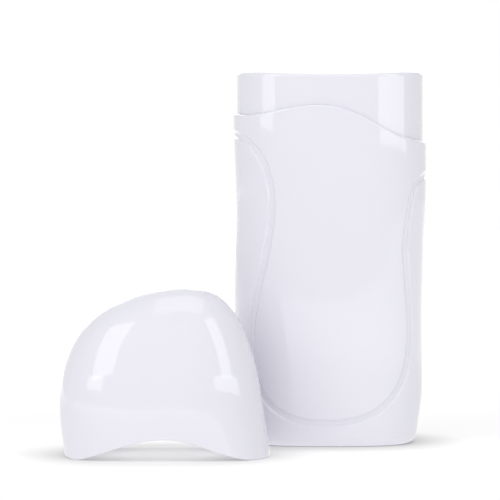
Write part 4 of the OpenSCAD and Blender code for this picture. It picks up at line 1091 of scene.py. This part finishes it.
base_at, base_half = node_middle("base_screws")
cup_at, cup_half = node_middle("cup_screws")
board_at, board_half = node_middle("board_screws")
base_head, cup_head, board_head = 2.4, 1.6, 1.7
strap_z, strap_half, strap_y, clip_y = (well_z + deck_z) / 2 - 6, 28.5, -well_b + well_wall, -2.6
tips = {
    "base_screws": [((s * (base_half.x - base_head), t * (base_half.y - base_head), base_at.z + base_half.z),
                     (0, 0, -1)) for s in (-1, 1) for t in (-1, 1)],
    "cup_screws": [((s * (cup_half.x - cup_head), 0, cup_at.z - cup_half.z), (0, 0, 1)) for s in (-1, 1)],
    "heater_screws": [((0, strap_y, strap_z + s * strap_half), (0, -1, 0)) for s in (-1, 1)]
    + [((0, clip_y, well_z + well_wall), (0, 0, -1))],
    "board_screws": [((board_at.x + s * (board_half.x - board_head), board_at.y + board_half.y, board_at.z),
                      (0, -1, 0)) for s in (-1, 1)]}
driven_screws = {node: drive_screws(name, tips[node], *sizes) for node, name, *sizes in (
    ("base_screws", "base_cover_screws", 1.08, 6.5, base_head, 1.2, 0.8),
    ("cup_screws", "well_screws", 0.78, 6.0, cup_head, 1.1, 0.6),
    ("heater_screws", "heater_strap_screws", 1.1, 1.85, 2.0, 1.3, 0.7),
    ("board_screws", "lamp_board_screws", 0.73, 5.2, board_head, 1.1, 0.5))}

# %% [markdown]
# ## Softened edges
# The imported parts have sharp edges, and nothing real does: a moulded edge has a small radius
# that shows as a bright line. A copy of each part is merged, its flat faces are joined, and a
# bevel of a quarter of a millimetre rounds what is sharp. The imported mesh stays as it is.

# %% Copies with rounded edges
def softened(node, name, material, width):
    """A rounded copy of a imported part."""
    bm = bmesh.new()
    bm.from_mesh(frame["nodes"][node].data)
    bmesh.ops.scale(bm, vec=(1 / MM, 1 / MM, 1 / MM), verts=bm.verts)
    merge(bm)
    bmesh.ops.dissolve_limit(bm, angle_limit=math.radians(1), verts=bm.verts, edges=bm.edges)
    sharp = [e for e in bm.edges if e.is_manifold and e.calc_face_angle() > math.radians(30)]
    bmesh.ops.bevel(bm, geom=sharp, offset=width, segments=3, profile=0.5, affect="EDGES",
                    clamp_overlap=True)
    merge(bm, 0.002)
    return piece_from(name, bm, material)


soft_parts = {node: softened(node, *how) for node, how in {
    "base_plate": ("base_cover", white_abs, 0.25), "rocker_case": ("switch_case", black_pbt, 0.2),
    "power_rocker": ("switch_rocker", red_abs, 0.25), "inlet_socket": ("inlet_body", black_pbt, 0.3),
    "inlet_pins": ("inlet_contacts", nickel_brass, 0.3)}.items()}

# %% [markdown]
# ## Every piece rides on its body
# A piece that stands for a imported part hides it and follows the same body. The parts that
# keep their imported shape only get their finish.

# %% Dress and ride
for piece in (front_skin, rear_skin, cap_skin):
    piece.data.materials.append(white_abs)
stands_for = {
    "front_shell": front_skin, "rear_shell": rear_skin, "cap": cap_skin, "neck_sleeve": collar,
    "heater_cup": well, "level_window": window, "indicator_lens": lens, **driven_screws, **soft_parts}
body_of = {node: body for body, nodes in frame["record"]["behaviour"]["bodies"].items() for node in nodes}
for node, piece in stands_for.items():
    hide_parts(node)
    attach(piece, body_of[node])
finishes = {
    "insulating_films": amber_film, "inner_electrode": rolled_brass, "outer_electrode": rolled_brass,
    "ptc_ceramics": dark_ceramic, "heater_clamp": spring_steel, "thermostat": phenolic,
    "thermal_fuse": cream_ceramic, "fuse_sleeve": glass_braid, "thermostat_clip": spring_steel,
    "switch_terminals": rolled_brass, "control_board": green_board, "indicator_led": red_epoxy,
    "series_resistor": lacquer, "live_wire": wires["brown"], "switch_wire": wires["brown"],
    "fuse_wires": wires["white"], "neutral_wire": wires["blue"], "indicator_wires": wires["red"]}
for node, material in finishes.items():
    frame["nodes"][node].material_slots[0].material = material
print(len(stands_for), "pieces made and", len(finishes), "packed parts finished, of", len(frame["nodes"]))

# %% Camera
camera = put("camera", bpy.data.cameras.new("camera"))
camera.data.sensor_width, camera.data.lens = 36, 167.26
camera.location = (-0.0291, -0.850, 0.088)
camera.rotation_euler = (math.radians(90 - 1.2175), 0, 0)
bpy.context.scene.camera = camera

# %% [markdown]
# ## Floor and studio
# The warmer stands on a light table of frosted white plastic, because a white object on white
# needs soft light on its lower edges as well. The table glows evenly and weakly. For the camera,
# for mirrors and for clear plastic it reaches pure white further out, where the lamps no longer
# reach, and near the object it stays a little below white, so the soft shadow still shows. Round
# the object a painted shadow, seen by the camera only, dims the glow within 20 mm, darkest in a thin line
# where it touches.

# %% Light table
floor_mesh = bpy.data.meshes.new("floor")
floor_mesh.from_pydata([(-3, -1.2, 0), (3, -1.2, 0), (3, 6, 0), (-3, 6, 0)], [], [(0, 1, 2, 3)])
floor = put("floor", floor_mesh)


def whitened_rays(tree):
    """The kinds of ray, and a number that is 1 for the camera's, a mirror's or a clear piece's."""
    ray = add_node(tree, "ShaderNodeLightPath").outputs
    seen = calc(tree, "MAXIMUM", ray["Is Camera Ray"], ray["Is Glossy Ray"])
    return ray, calc(tree, "MAXIMUM", seen, ray["Is Transmission Ray"])


frosted, tree, place = start_material("frosted white acrylic")
do = partial(calc, tree)
ray, seen = whitened_rays(tree)
own_glow, near_glow, darkest_painted_shade, painted_shadow_reach = 0.63, 0.65, 0.05, 20 * MM
away = add_node(tree, "ShaderNodeVectorMath", {0: place}, operation="LENGTH").outputs["Value"]
spread = ranged(tree, away, (near_glow, 1.0), 0.15, 0.6)
spread.interpolation_type = "SMOOTHSTEP"
# Painted reflection: in mirrors only, the table in front of the object glows up to 0.4 brighter than the
# camera sees it.
painted_reflection_in_front = ranged(tree, axes(tree, place)["Y"], (0, 0.4), -0.06, -0.16)
sheen = do("MULTIPLY_ADD", ray["Is Glossy Ray"], painted_reflection_in_front, seen)
# Painted shadow: occlusion within 20 mm of the object dims the table's glow, for the camera only.
gap = add_node(tree, "ShaderNodeAmbientOcclusion", {"Distance": painted_shadow_reach}, samples=8)
painted_shade = ranged(tree, gap.outputs["AO"], (darkest_painted_shade, 1.0), 0.0, 1.0)
painted_shade = do("MAXIMUM", painted_shade, do("SUBTRACT", 1.0, ray["Is Camera Ray"]))
lift = do("MULTIPLY", do("MAXIMUM", do("MULTIPLY", sheen, spread), own_glow), painted_shade)
matt = add_node(tree, "ShaderNodeBsdfDiffuse", {"Color": linear("#adadad")})
glow = add_node(tree, "ShaderNodeEmission", {"Strength": lift})
both = add_node(tree, "ShaderNodeAddShader", {0: matt, 1: glow})
add_node(tree, "ShaderNodeOutputMaterial", {"Surface": both})
floor_mesh.materials.append(frosted)

# %% [markdown]
# ## Lamps
# A tall soft box stands on either side, with a low one at its foot that carries its light down
# to the table's height. They draw the sharp-edged bright strips on the gloss. A soft box
# overhead draws the patch on the dome, and one behind lights the rear. The world fills in from
# the front and above, as a bright ceiling would, so no lamp's edge crosses the front. It is
# plain white to the camera, to mirrors and through glass.

# %% Soft boxes
def softbox(name, azimuth, elevation, distance, size, strength, roll=0.0, aim=(0, 0, 0.06)):
    """A soft lamp at an angle round the object, facing it, with its top leant by a roll."""
    data = bpy.data.lights.new(name, "AREA")
    data.shape = "RECTANGLE"
    data.size, data.size_y = size
    data.energy = strength * size[0] * size[1] * math.pi
    lamp = put(name, data)
    a, e = math.radians(azimuth), math.radians(elevation)
    back = np.array([math.sin(a) * math.cos(e), -math.cos(a) * math.cos(e), math.sin(e)])
    lamp.location = np.array(aim) + back * distance
    lamp.rotation_mode = "QUATERNION"
    roll = Quaternion((0, 0, 1), math.radians(roll))
    lamp.rotation_quaternion = Vector(-back).to_track_quat("-Z", "Y") @ roll


softbox("left box", -46, 32, 1.0, (0.44, 0.78), 1.85, roll=14)
softbox("left foot", -49.5, 7.8, 1.0, (0.381, 0.134), 1.7)
softbox("right box", 51, 31, 1.0, (0.353, 0.78), 1.98)
softbox("right foot", 51.1, 7.45, 1.0, (0.788, 0.106), 1.85, roll=-0.7)
softbox("top box", 0, 84, 1.0, (0.62, 0.7), 1.0, aim=(0.05, 0, 0.06))
softbox("back box", 180, 28, 1.2, (1.2, 0.8), 1.35)

# %% World
world = bpy.data.worlds.new("studio")
bpy.context.scene.world = world
world.use_nodes = True
tree = world.node_tree
tree.nodes.clear()
ray, seen = whitened_rays(tree)
way = add_node(tree, "ShaderNodeTexCoord").outputs["Generated"]
brightest_way = (-0.199, -0.740, 0.643)
toward = add_node(tree, "ShaderNodeVectorMath", {0: way, 1: brightest_way}, operation="DOT_PRODUCT")
sky = ranged(tree, toward.outputs["Value"], (0.18, 0.86), 0.12, 1.0)
fill, white = (add_node(tree, "ShaderNodeBackground", {
    "Color": linear("#ffffff"), "Strength": strength}) for strength in (sky, 1.0))
mixed = add_node(tree, "ShaderNodeMixShader", {"Fac": seen, 1: fill, 2: white})
add_node(tree, "ShaderNodeOutputWorld", {"Surface": mixed})
bpy.context.scene.view_settings.view_transform = "Standard"
